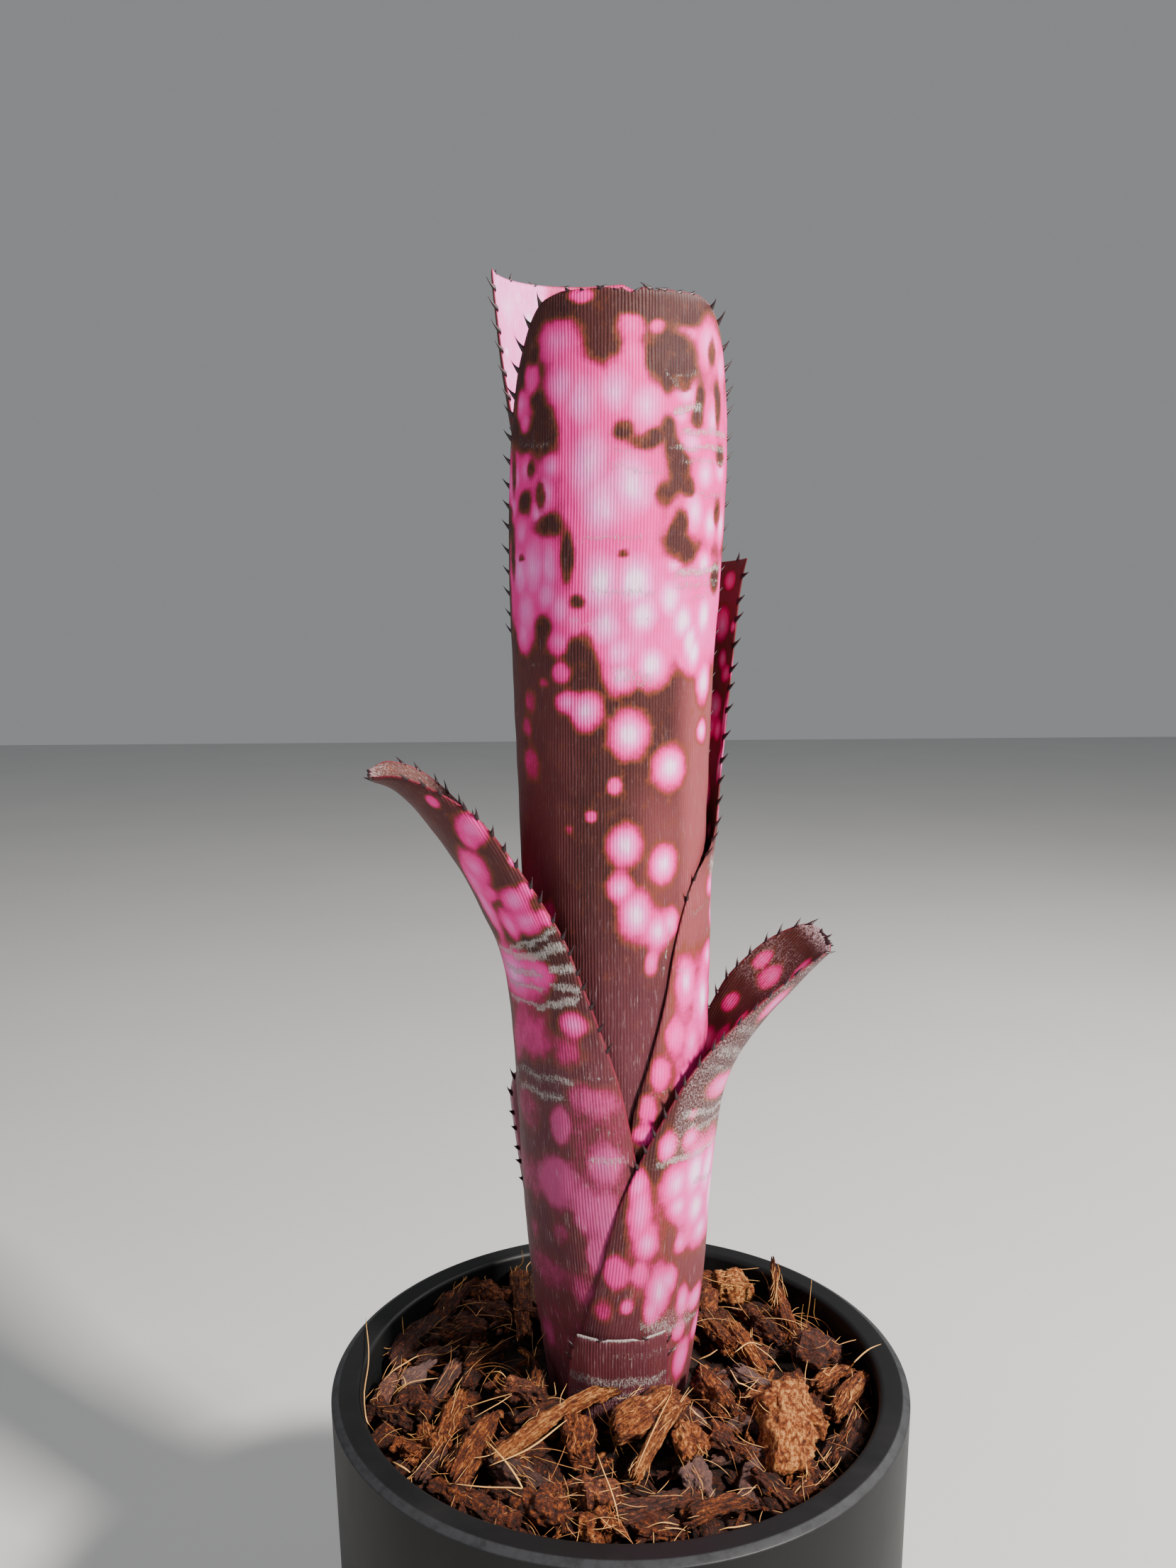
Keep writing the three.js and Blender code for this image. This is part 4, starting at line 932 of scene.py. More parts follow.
def scatter_spots(name, face):
    """Seeded spots where the photo shows none of the face."""
    rng = np.random.default_rng(sum(ord(c) for c in name) + len(face))
    found = []
    for where, azimuths, heights, count in SCATTER.get(name, ()):
        if where != face:
            continue
        for _ in range(count):
            grow = rng.uniform(0.4, 1) + rng.random() ** 4
            wide, high = rng.uniform(5, 10) * grow, rng.uniform(2.2, 4.4) * grow
            found.append((rng.uniform(*azimuths), rng.uniform(*heights), wide, high, rng.uniform(0, 0.9)))
    return found


def turn_from(azimuth, middle):
    return (azimuth - middle + 180) % 360 - 180


def spot_values(spots, azimuth, height):
    """How far a place is inside spots, from 0 to 1, and how pale it is."""
    clear = np.ones_like(azimuth)
    pale = np.zeros_like(azimuth)
    for middle, level, wide, high, tone in spots:
        distance = np.sqrt((turn_from(azimuth, middle) / wide) ** 2 + ((height - level) / high) ** 2)
        # a spot of 0 is dimmed, painted shade
        strength = 1 if tone else SHADED_SPOT_STRENGTH
        clear *= 1 - strength * smooth_step(*SPOT_EDGE, distance)
        pale = np.maximum(pale, tone * smooth_step(PALE_REACH, 0.0, distance))
    return 1 - clear, pale


def area_values(areas, azimuth, height, softness):
    """The strongest of soft-edged areas: azimuths from and to, heights from and to, strength."""
    value = np.zeros_like(azimuth)
    soft_turn, soft_rise = softness
    for start, end, low, high, strength in areas:
        away = np.abs(turn_from(azimuth, (start + end) / 2)) - (end - start) / 2
        rise = np.abs(height - (low + high) / 2) - (high - low) / 2
        inside = smooth_step(soft_turn, -soft_turn, away) * smooth_step(soft_rise, -soft_rise, rise)
        value = np.maximum(value, strength * inside)
    return value


def faced_values(rows, azimuth, height, softness):
    """The soft-edged areas of the outer face and of the inner one."""
    return [
        area_values([row[1:] for row in rows if row[0] == face], azimuth, height, softness)
        for face in ("outer", "inner")
    ]


def face_spots(name, face, azimuth, height):
    """Spots of one face, with the pink grounds they run into and the dark patches left free."""
    spots = list(SPOTS[name][face]) + scatter_spots(name, face)
    value, pale = spot_values(spots, azimuth, height)
    dark = np.zeros_like(value)
    if face == "outer":
        dark, _ = spot_values([(*patch, 1) for patch in DARKS.get(name, ())], azimuth, height)
    value = value * (1 - DARK_OVER_SPOTS * dark)
    for wash_face, *area, wash_pale in WASHES.get(name, ()):
        if wash_face == face:
            wash = area_values([area], azimuth, height, WASH_SOFTNESS)
            value = 1 - (1 - value) * (1 - wash * (1 - dark))
            pale = np.maximum(pale, wash_pale * wash)
    return value, pale


def band_values(bands, azimuth, height):
    """Silver cross-bands, a little wavy, with frayed ends."""
    value = np.zeros_like(azimuth)
    for i, (start, end, low, high, half, strength) in enumerate(bands):
        share = turn_from(azimuth, start) / (end - start)
        level = low + (high - low) * np.clip(share, 0, 1)
        for size, pitch, shift in BAND_WAVES:
            level = level + size * np.sin(azimuth * pitch + shift * i)
        inside = smooth_step(*BAND_END, share) * smooth_step(*BAND_END, 1 - share)
        within = smooth_step(*BAND_FADE, np.abs(height - level) / half)
        value = np.maximum(value, strength * inside * within)
    return value


def spine_shape(foot, outward, forward, length):
    """A hooked thorn with a broad flat foot on the margin."""
    side = np.cross(outward, forward)
    points = []
    for i in range(SPINE_STEPS):
        share = i / SPINE_STEPS
        centre = foot + outward * (length * share * math.cos(SPINE_RAKE) - SPINE_ROOT * (1 - share))
        centre = centre + forward * (length * (math.sin(SPINE_RAKE) * share + SPINE_HOOK * share * share))
        breadth = SPINE_HALF_BREADTH * ((1 - share) ** 1.4 + 0.06)
        depth = SPINE_HALF_DEPTH * ((1 - share) ** 0.8)
        for k in range(SPINE_SIDES):
            turn = 2 * math.pi * k / SPINE_SIDES
            points.append(centre + forward * breadth * math.cos(turn) + side * depth * math.sin(turn))
    end = foot + outward * length * math.cos(SPINE_RAKE)
    points.append(end + forward * length * (math.sin(SPINE_RAKE) + SPINE_HOOK))
    faces = ring_faces(SPINE_STEPS, SPINE_SIDES)
    last = (SPINE_STEPS - 1) * SPINE_SIDES
    for k in range(SPINE_SIDES):
        faces.append((last + k, last + (k + 1) % SPINE_SIDES, last + SPINE_SIDES))
    faces.append(tuple(range(SPINE_SIDES - 1, -1, -1)))
    return points, faces


def unit(v):
    return v / np.linalg.norm(v)


def margin_spines(leaf, heights, middle, facing, side):
    """Spines along one margin of the blade, from its rows of mid-thickness points. They lean out
    from the outer face."""
    rng = np.random.default_rng(leaf["azimuth"])
    low, high = leaf["spines"][side]
    edge = 0 if side == "near" else -1
    line = middle[:, edge]
    inside = middle[:, 3] if side == "near" else middle[:, -4]
    steps = np.linalg.norm(np.diff(line, axis=0), axis=1)
    along = np.concatenate([[0], np.cumsum(steps)])
    spacing = leaf["spines"]["spacing"]
    made = []
    for at in np.arange(spacing / 2, along[-1], spacing):
        at = at + spacing * SPINE_STRAY * rng.uniform(-1, 1)
        row = int(np.clip(np.searchsorted(along, at), 1, len(line) - 2))
        if not low <= heights[row] <= high:
            continue
        forward = unit(line[row + 1] - line[row - 1])
        outward = unit(line[row] - inside[row]) + leaf["spines"].get("flare", SPINE_FLARE) * facing[row, edge]
        outward = unit(outward - forward * (outward @ forward))
        length = leaf["spines"]["length"] * rng.uniform(*SPINE_SIZES)
        made.append(spine_shape(line[row], outward, forward, length))
    return made


def tip_spines(leaf, middle):
    made = []
    count = leaf["spines"]["tip"]
    columns = middle.shape[1] - 1
    for i in range(count):
        j = int((i + 0.5) / count * columns)
        outward = unit(middle[-1, j] - middle[-6, j])
        forward = unit(middle[-1, min(j + 2, columns)] - middle[-1, max(j - 2, 0)])
        forward = unit(forward - outward * (forward @ outward))
        if i >= count / 2:
            forward = -forward
        length = leaf["spines"]["length"] * TIP_SPINE_SHARE
        made.append(spine_shape(middle[-1, j], outward, forward, length))
    return made


def blade_mesh(outside, inside):
    """Points and faces of a blade between two grids of points, closed all round."""
    rows, wide = outside.shape[:2]
    count = rows * wide
    points = np.concatenate([outside.reshape(-1, 3), inside.reshape(-1, 3)])
    faces = grid_faces(rows, wide) + grid_faces(rows, wide, count, flip=True)
    for left in range(0, count - wide, wide):
        faces.append((left, left + wide, left + wide + count, left + count))
        right = left + wide - 1
        faces.append((right, right + count, right + wide + count, right + wide))
    top = count - wide
    for j in range(wide - 1):
        faces.append((j, j + count, j + 1 + count, j + 1))
        faces.append((top + j, top + j + 1, top + j + 1 + count, top + j + count))
    return points, faces


def blade_marks(name, azimuth, heights, across, along, margin, from_tip):
    """What the material needs to know at each place of the outer and of the inner face."""
    spot_out, pale_out = face_spots(name, "outer", azimuth, heights)
    spot_in, pale_in = face_spots(name, "inner", azimuth, heights)
    none = np.zeros_like(heights)
    torn = smooth_step(TORN_RIM * 1.5, TORN_RIM * 0.5, from_tip) * (name in TORN_PALE)
    edge = np.exp(-((margin / MARGIN_WIDTH) ** 2)) * (1 - torn) * MARGIN_SHOWN.get(name, 1)
    # the sheaths' mauve, partly painted shade
    mauve_from, mauve_full, mauve = SHEATH_MAUVE_AND_SHADE.get(name, SHEATH_MAUVE_AND_SHADE_ELSEWHERE)
    warm = mauve * smooth_step(mauve_from, mauve_full, heights)
    return {
        "across": (across, across),
        "along": (along, along),
        "inner": (none, none + 1),
        "spot": (spot_out, spot_in),
        "pale": (pale_out, pale_in),
        "silver": (np.maximum(band_values(BANDS.get(name, ()), azimuth, heights), torn), torn),
        "flush": faced_values(PAINTED_LIGHT_AREAS.get(name, ()), azimuth, heights, PAINTED_LIGHT_SOFTNESS),
        "scurf": faced_values(SCURF_AND_LIGHT_AREAS.get(name, ()), azimuth, heights, SCURF_AND_LIGHT_SOFTNESS),
        "edge": (edge, edge),
        "warm": (warm, warm),
    }


def build_leaf(name, leaf, materials):
    curves = leaf_curves(leaf)
    rows, columns = leaf["rows"], leaf["columns"]
    share = np.linspace(0, 1, rows + 1)
    length = curves["length"]
    across = np.linspace(0, 1, columns + 1)
    along = (length * (1 - (1 - share) ** ROW_CROWDING))[:, None] * np.ones((1, columns + 1))
    near = np.radians(curves["near"](along[:, 0]))[:, None]
    far = np.radians(curves["far"](along[:, 0]))[:, None]
    turn = -near + (near + far) * across[None, :]
    azimuth = leaf["azimuth"] + np.degrees(turn)
    for middle, half, depth in NICKS.get(name, ()):
        dip = depth * np.clip(1 - ((azimuth - middle) / half) ** 2, 0, 1)
        along = along - dip * smooth_step(length - 6, length, along)
    outer, way = blade_places(leaf, curves, along, turn)
    heights = curves["h"](along)
    # measures on the blade, for its markings and its thickness
    bend = curves["gutter"](along)
    from_near = (turn + near) * bend
    from_far = (far - turn) * bend
    from_tip = length - along
    margin = np.minimum(np.minimum(from_near, from_far), from_tip + 0.15)
    thin = 0.5 * BLADE_THICKNESS * np.exp(-((margin / THINNED_WIDTH) ** 2)) * THINNED_SHARE
    rng = np.random.default_rng(leaf["azimuth"] + 7)
    ripple = RIPPLE * rough(outer, waves(rng, *RIPPLE_WAVES)) * smooth_step(0, 3, margin)
    if leaf["layer"] > 0:
        tuck = MARGIN_TUCK * smooth_step(MARGIN_TUCK_WIDTH, 0, np.minimum(from_near, from_far))
        lifted = curves["reach"](along) - nest_radius(heights) - leaf["layer"] * NEST_PITCH
        ripple = ripple + tuck * smooth_step(*STANDING_OFF, lifted)
    outside = outer + way * (thin + ripple)[..., None]
    inside = outer + way * (BLADE_THICKNESS - thin + ripple)[..., None]
    middle = (outside + inside) / 2
    heel_outer, heel_way = heel_places(leaf, turn[0])
    outside = np.concatenate([heel_outer, outside])
    inside = np.concatenate([heel_outer + heel_way * BLADE_THICKNESS, inside])
    points, faces = blade_mesh(outside, inside)
    blade_faces = len(faces)
    heel_rows = HEEL_STEPS + 1

    def padded(values):
        return np.concatenate([np.repeat(values[:1], heel_rows, axis=0), values]).ravel()

    marks = blade_marks(name, azimuth, heights, turn * bend, along, margin, from_tip)
    values = {key: np.concatenate([padded(a), padded(b)]) for key, (a, b) in marks.items()}
    spines = margin_spines(leaf, heights[:, 0], middle, -way, "near")
    spines += margin_spines(leaf, heights[:, -1], middle, -way, "far")
    spines += tip_spines(leaf, middle)
    extra = []
    for spine_points, spine_faces in spines:
        base = len(points) + len(extra)
        extra.extend(spine_points)
        faces.extend(tuple(base + k for k in face) for face in spine_faces)
    points = np.concatenate([points, np.array(extra)])
    slots = [0] * blade_faces + [1] * (len(faces) - blade_faces)
    obj = make_object(name + "_fine", points, faces, materials, slots)
    for key, value in values.items():
        add_attribute(obj, key, np.concatenate([value, np.zeros(len(extra))]))
    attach(obj, "root")
    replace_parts(obj, name)
    return obj


# Pot


def inner_wall_radius(z):
    return RIM_INNER_RADIUS - math.tan(WALL_TAPER) * (POT_HEIGHT - z)


def outer_wall_radius(z):
    return RIM_RADIUS - math.tan(WALL_TAPER) * (POT_HEIGHT - RIM_CHAMFER_DEPTH - z)


def arc(centre_r, centre_z, radius, start, end, steps):
    pairs = []
    for i in range(steps + 1):
        turn = math.radians(start + (end - start) * i / steps)
        pairs.append((centre_r + radius * math.cos(turn), centre_z + radius * math.sin(turn)))
    return pairs


def softened(pairs, radius):
    """The closed profile with each corner cut by a small round."""
    made = []
    count = len(pairs)
    for i in range(count):
        before = np.array(pairs[i - 1], float)
        here = np.array(pairs[i], float)
        after = np.array(pairs[(i + 1) % count], float)
        a = before - here
        b = after - here
        reach = min(radius, 0.4 * np.linalg.norm(a), 0.4 * np.linalg.norm(b))
        start = here + unit(a) * reach
        end = here + unit(b) * reach
        for k in range(4):
            t = k / 3
            made.append((1 - t) ** 2 * start + 2 * t * (1 - t) * here + t * t * end)
    return made


def lathe(profile, segments):
    profile = np.asarray(profile, float)
    turns = np.linspace(0, 2 * math.pi, segments, endpoint=False)
    points = np.stack(
        [
            np.outer(np.cos(turns), profile[:, 0]), np.outer(np.sin(turns), profile[:, 0]),
            np.outer(np.ones(segments), profile[:, 1]),
        ],
        axis=-1,
    )
    count = len(profile)
    faces = []
    for i in range(segments):
        a = i * count
        b = (i + 1) % segments * count
        for j in range(count):
            k = (j + 1) % count
            faces.append((a + j, b + j, b + k, a + k))
    return points.reshape(-1, 3), faces


def build_pot(material):
    floor_wall = inner_wall_radius(FLOOR_THICKNESS)
    profile = [
        (DRAIN_HOLE_RADIUS, 0),
        (outer_wall_radius(0) - FOOT_CHAMFER, 0),
        (outer_wall_radius(FOOT_CHAMFER), FOOT_CHAMFER),
        (RIM_RADIUS, POT_HEIGHT - RIM_CHAMFER_DEPTH),
        (RIM_RADIUS - RIM_CHAMFER_WIDTH, POT_HEIGHT),
    ]
    profile += arc(RIM_INNER_RADIUS + RIM_LIP_ROUND, POT_HEIGHT - RIM_LIP_ROUND, RIM_LIP_ROUND, 90, 180, 8)
    profile += arc(floor_wall - FLOOR_ROUND, FLOOR_THICKNESS + FLOOR_ROUND, FLOOR_ROUND, 0, -90, 10)
    profile.append((DRAIN_HOLE_RADIUS, FLOOR_THICKNESS))
    points, faces = lathe(softened(profile, 0.25), POT_SEGMENTS)
    obj = make_object("pot_fine", points, faces, [material])
    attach(obj, "root")
    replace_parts(obj, "pot")


# Husk: a rough bed, chips and fibres

# Its height at the wall and at the nest of leaves, from the rim; the nest's radius there, and the
# room that the husk leaves round the nest's outer faces
HUSK_WALL_LEVEL = -8.5
HUSK_STEM_LEVEL = -0.5
HUSK_NEST_RADIUS = 17
NEST_ROOM = 6.4

# The bed: its points, gaps to the pot, tint (dark, painted shade in the gaps between the chips),
# and the top's place, roughness and waves
BED_RINGS = 60
BED_SPOKES = 200
BED_WALL_GAP = 0.9
BED_FLOOR_GAP = 0.3
BED_PAINTED_SHADE_TINT = 0.08
BED_BELOW_CHIPS = 2.6
BED_INNER_RADIUS = 12.2
BED_TOP_DEPTH = 15.5
BED_ROUGHNESS = 1.1
BED_WAVES = (40, 1.6, 9)
BED_SEED = 11

# The well round the foot of the plant: radius and depth below the rim
BED_WELL = ((12, 16), (5.6, 18), (0.01, 19.5))

# Chips: gap to the wall, points, waves that shape them (how many, shortest, longest), and for the
# scattered ones the ranges that their forms are drawn from
CHIP_WALL_GAP = 0.4
CHIP_CAP_ROWS = 3
CHIP_FINE = (30, 44)
CHIP_LUMPS = (18, 2.6, 8)
CHIP_CREASES = (22, 1.8, 5)
CHIP_GRAINS = (26, 0.8, 2.2)
# the low chips are tinted darker than the high ones, painted shade where they lie beneath them
LOW_CHIPS = {
    "tilt": 0.25, "wide": (4, 8), "thick": (2.5, 4.5), "grid": (16, 24), "grey": 0.5, "tint": (0.14, 0.4),
}
HIGH_CHIPS = {
    "tilt": 0.4, "wide": (3.4, 8), "thick": (2.4, 5), "grid": (16, 24), "grey": 0.6, "tint": (0.24, 0.68),
}
CRUMB_CHIPS = {
    "tilt": 0.8, "wide": (0.8, 2), "thick": (0.6, 1.4), "grid": (8, 8), "grey": 0, "tint": (0.25, 0.7),
}
GREY_CHIP_SHARE = 0.15
CRUMB_STRINGY = 0.6
CHIPS_SEEN_SEED = 21
CHIPS_LOOSE_SEED = 33
CHIPS_LOW = 95
CHIPS_HIGH_TRIES = 900
CHIPS_APART = 7.5
CRUMBS = 380

# Fibres: how many are loose, points, share of the breadth below, and splinters of each chip
FIBRES_SEED = 45
FIBRES_LOOSE = 210
FIBRE_STEPS = 9
FIBRE_SIDES = 3
FIBRE_SEEN_BREADTH = 0.6
SPLINTERS = 8

# Chips that show in the photo: the pixels of their two ends there, the rise of each end above the
# bed, width, thickness, how fibrous (0 for a pithy lump), tint from dark to golden, and how grey
CHIPS_SEEN = (
    (700, 2052, 858, 1952, 3.2, 6.2, 4.6, 3, 1, 0.72, 0), (868, 2018, 948, 1966, 4.2, 5, 9, 6, 0.8, 0.6, 0),
    (960, 1972, 893, 2084, 5.6, 2.6, 2.6, 2, 1, 0.7, 0), (812, 2000, 822, 2062, 3, 1.8, 7, 6, 0.4, 0.45, 0),
    (814, 2112, 872, 2105, 2.6, 2.6, 8.4, 7.5, 0.1, 0.46, 0.1),
    (872, 2140, 990, 2108, 2, 2.6, 4.4, 4, 1, 0.36, 0.1),
    (966, 2142, 1062, 2118, 2.4, 2.6, 4.2, 3.5, 1, 0.42, 0),
    (1112, 1958, 1108, 2076, 5.2, 2.8, 11, 7, 0.15, 0.7, 0),
    (1072, 1992, 1162, 2004, 3.8, 4.2, 9.5, 6, 0.15, 0.66, 0),
    (984, 1940, 1028, 1994, 4.2, 3, 5.2, 5, 0.7, 0.45, 0),
    (968, 2012, 980, 2056, 4.2, 3.2, 6.5, 5, 0.3, 0.6, 0),
    (974, 2064, 990, 2106, 3, 2.4, 5.6, 3.5, 0.3, 0.4, 0.7),
    (1002, 2020, 1042, 2050, 2.8, 2.4, 8, 5, 0.5, 0.36, 0),
    (1128, 1912, 1176, 1904, 3.6, 3.6, 8.4, 7.5, 0.1, 0.28, 0.1),
    (1150, 1954, 1197, 1930, 3, 3.8, 4, 2.6, 0.9, 0.58, 0),
    (1178, 1992, 1222, 1940, 2.6, 4.2, 4, 2.6, 1, 0.58, 0),
    (1010, 1814, 1058, 1822, 4.4, 4.4, 10, 8, 0.15, 0.72, 0),
    (1112, 1880, 1092, 1814, 2, 8.5, 5, 4, 0.9, 0.5, 0),
    (1095, 1834, 1090, 1778, 7, 14.5, 1.3, 0.9, 1, 0.55, 0),
    (1093, 1826, 1099, 1790, 8, 13, 1, 0.8, 1, 0.6, 0),
    (1048, 1848, 1100, 1888, 2.8, 2.8, 6, 5, 0.6, 0.33, 0),
    (990, 1862, 1032, 1902, 2, 2.6, 5, 3.4, 1, 0.5, 0),
    (1030, 1868, 1074, 1936, 4, 2.8, 4, 3, 1, 0.58, 0),
    (1038, 1930, 1086, 1960, 3, 2.6, 4.4, 2.4, 0.8, 0.4, 0.8),
    (1060, 1978, 1086, 1964, 3, 3, 4.4, 4, 0.6, 0.5, 0), (612, 1868, 662, 1806, 1.6, 5.5, 6, 5, 1, 0.3, 0),
    (670, 1820, 716, 1838, 3, 2.6, 6.4, 6, 0.3, 0.42, 0),
    (735, 1800, 741, 1882, 4.5, 1.6, 6, 5, 0.8, 0.48, 0),
    (630, 1886, 682, 1876, 2.8, 2.8, 7.4, 4, 0.6, 0.32, 0),
    (554, 1918, 606, 1868, 2, 3.5, 6.4, 4, 0.9, 0.24, 0.1),
    (532, 1984, 560, 1936, 2, 3.2, 7, 2.2, 0.5, 0.5, 0.45),
    (570, 1955, 602, 1925, 3, 4, 6, 1.8, 0.5, 0.4, 0.75),
    (622, 2026, 652, 1964, 2.8, 4.4, 4.4, 4, 0.9, 0.6, 0),
    (640, 2086, 690, 2004, 2.2, 4.4, 6.8, 5, 1, 0.5, 0),
    (528, 1984, 578, 2012, 1.6, 1.4, 5.6, 4, 0.8, 0.25, 0),
    (560, 2036, 592, 2056, 1.6, 1.8, 6, 5, 0.6, 0.5, 0),
    (600, 2020, 628, 2052, 2.6, 2, 5.6, 5, 0.5, 0.5, 0),
    (588, 2092, 632, 2046, 1.4, 2, 4.4, 3.4, 1, 0.3, 0.2),
    (608, 2096, 726, 2152, 1.8, 1.2, 5, 4.4, 0.3, 0.32, 0),
    (700, 2060, 768, 2102, 2, 1.6, 5.4, 4, 0.8, 0.22, 0.3),
    (698, 2044, 738, 2078, 2.4, 2, 5, 4, 0.4, 0.42, 0),
    (745, 2116, 796, 2130, 1.6, 1.8, 7.6, 5.5, 0.1, 0.38, 0),
    (655, 1930, 722, 1894, 2.6, 3.6, 4.4, 2.8, 0.9, 0.36, 0),
    (708, 1956, 768, 1970, 3.2, 3, 6.6, 4.4, 0.4, 0.42, 0.1),
    (752, 1972, 771, 1914, 1.6, 7, 5, 3.4, 0.9, 0.38, 0),
    (810, 2152, 850, 2160, 1.2, 1.2, 5, 4.4, 0.3, 0.5, 0),
    (1062, 2080, 1118, 2126, 2, 1, 4.8, 3.4, 0.9, 0.3, 0),
    (1120, 2110, 1168, 2084, 1.2, 1.6, 4.4, 3, 0.8, 0.4, 0),
    (1174, 2062, 1208, 1994, 1.6, 3.2, 2.8, 2, 0.9, 0.42, 0),
    (1180, 2066, 1222, 2010, 1, 1.4, 6.4, 4, 0.8, 0.2, 0),
    (564, 1974, 616, 1996, 1.8, 2, 6.6, 4.6, 0.3, 0.28, 0),
    (612, 1976, 648, 1924, 2.2, 3.2, 4, 2.4, 1, 0.34, 0.3),
    (838, 2130, 868, 2162, 1.6, 1, 5, 4, 0.3, 0.52, 0),
    (900, 2160, 962, 2164, 0.6, 0.6, 4, 3, 0.9, 0.36, 0),
    (1130, 2060, 1158, 2100, 1.8, 1.2, 5, 3.6, 0.7, 0.28, 0),
    (790, 2110, 800, 2160, 1.4, 0.8, 4.4, 3.4, 0.6, 0.34, 0),
    (660, 1840, 720, 1860, 1.4, 1.6, 6, 4, 0.4, 0.3, 0),
    (590, 1920, 640, 1905, 1.6, 2, 5, 3, 0.8, 0.3, 0.2),
    (1190, 1985, 1215, 1960, 1.2, 1.4, 5, 3, 0.6, 0.3, 0.2),
    (1150, 1890, 1190, 1925, 1, 1.4, 5, 3.4, 0.6, 0.26, 0),
)

# Fibres that show in the photo: pixels there and the rise above the bed at each, then half-breadth
FIBRES_SEEN = (
    (((516, 1858, 10), (519, 1930, 9.6), (514, 1962, 9.4), (518, 2006, 8.6), (530, 2022, 2)), 0.26),
    (((1190, 1945, 1), (1205, 1922, 8), (1225, 1904, 9.8), (1243, 1896, 9.9)), 0.26),
    (((1134, 1890, 1), (1139, 1858, 8), (1143, 1828, 14), (1145, 1805, 18)), 0.16),
    (((1134, 1890, 1), (1130, 1866, 5), (1133, 1840, 10)), 0.13),
    (((718, 1814, 2), (728, 1792, 7), (738, 1776, 11), (736, 1763, 13)), 0.3),
    (((572, 1906, 1), (569, 1880, 5), (567, 1857, 9)), 0.2),
    (((688, 2034, 5), (706, 2054, 5.5), (722, 2074, 5), (736, 2098, 4), (746, 2128, 1.5)), 0.34),
    (((842, 2050, 5), (857, 2090, 6.5), (868, 2122, 5.5), (874, 2152, 3)), 0.24),
    (((948, 1964, 7.4), (930, 2000, 7.4), (910, 2044, 6), (893, 2086, 3.4)), 0.3),
    (((972, 1984, 5), (986, 1998, 4.6), (1000, 2012, 3)), 0.26), (((630, 2092, 4), (684, 2098, 4.4),
    (736, 2100, 4), (766, 2128, 2)), 0.28),
    (((690, 2068, 6), (742, 2046, 6.5), (800, 2003, 8)), 0.34), (((553, 2062, 2), (568, 2070, 2.6),
    (582, 2080, 1.5)), 0.36),
    (((1150, 1832, 12), (1148, 1850, 8), (1156, 1872, 3)), 0.12), (((1036, 1908, 4), (1060, 1894, 6),
    (1075, 1898, 6)), 0.28),
    (((985, 1918, 3.5), (1000, 1912, 5), (1012, 1904, 6.4)), 0.34), (((1060, 1894, 6), (1084, 1912, 5.5),
    (1104, 1936, 3)), 0.2),
    (((1030, 1932, 4), (1044, 1952, 5), (1072, 1966, 3.5)), 0.3), (((1132, 2092, 1), (1138, 2078, 3.4),
    (1137, 2064, 5)), 0.3),
    (((1116, 2112, 1), (1128, 2098, 2.4), (1140, 2086, 3)), 0.28), (((560, 1965, 3.4), (580, 1950, 4.6),
    (618, 1944, 4)), 0.3),
    (((540, 1948, 4), (560, 1930, 5), (590, 1912, 4.6)), 0.26), (((562, 1960, 3.6), (572, 1952, 4.4),
    (568, 1940, 5)), 0.32),
    (((640, 1992, 3.2), (690, 1975, 5), (722, 1966, 5.4)), 0.26), (((668, 2000, 4.6), (700, 1982, 5.4),
    (722, 1968, 5.4)), 0.2),
    (((684, 1938, 4.2), (706, 1936, 6), (716, 1946, 4.6)), 0.24), (((742, 1932, 4), (748, 1950, 5),
    (744, 1962, 4)), 0.24),
    (((770, 1972, 3), (784, 1966, 5), (782, 1950, 6.6)), 0.22), (((886, 1942, 7.6), (892, 1932, 9.4),
    (897, 1922, 10.6)), 0.24),
    (((866, 1952, 7), (884, 1944, 8), (900, 1938, 7.4)), 0.3), (((1010, 2160, 1), (1030, 2155, 2),
    (1060, 2150, 1)), 0.24),
    (((905, 2158, 1.4), (935, 2148, 3), (960, 2152, 1.6)), 0.22), (((920, 2152, 1.2), (952, 2156, 2.6),
    (975, 2162, 1)), 0.2),
)


def husk_level(radius):
    share = (radius - HUSK_NEST_RADIUS) / (RIM_INNER_RADIUS - HUSK_NEST_RADIUS)
    return POT_HEIGHT + HUSK_STEM_LEVEL + (HUSK_WALL_LEVEL - HUSK_STEM_LEVEL) * share


def camera_turn():
    return Euler((math.radians(CAMERA_TILT), math.radians(CAMERA_ROLL), 0))


def on_bed(px, py, rise):
    """The place this far above the bed that a pixel of the photo shows."""
    pixels = CAMERA_LENS / CAMERA_SENSOR * PHOTO_HEIGHT
    way = camera_turn().to_matrix() @ Vector(
        ((px - PHOTO_WIDTH / 2) / pixels, (PHOTO_HEIGHT / 2 - py) / pixels, -1)
    )
    start = Vector(CAMERA_PLACE)
    level = POT_HEIGHT
    for _ in range(8):
        place = start + way * ((level + rise - start.z) / way.z)
        level = husk_level(math.hypot(place.x, place.y))
    return np.array(place)


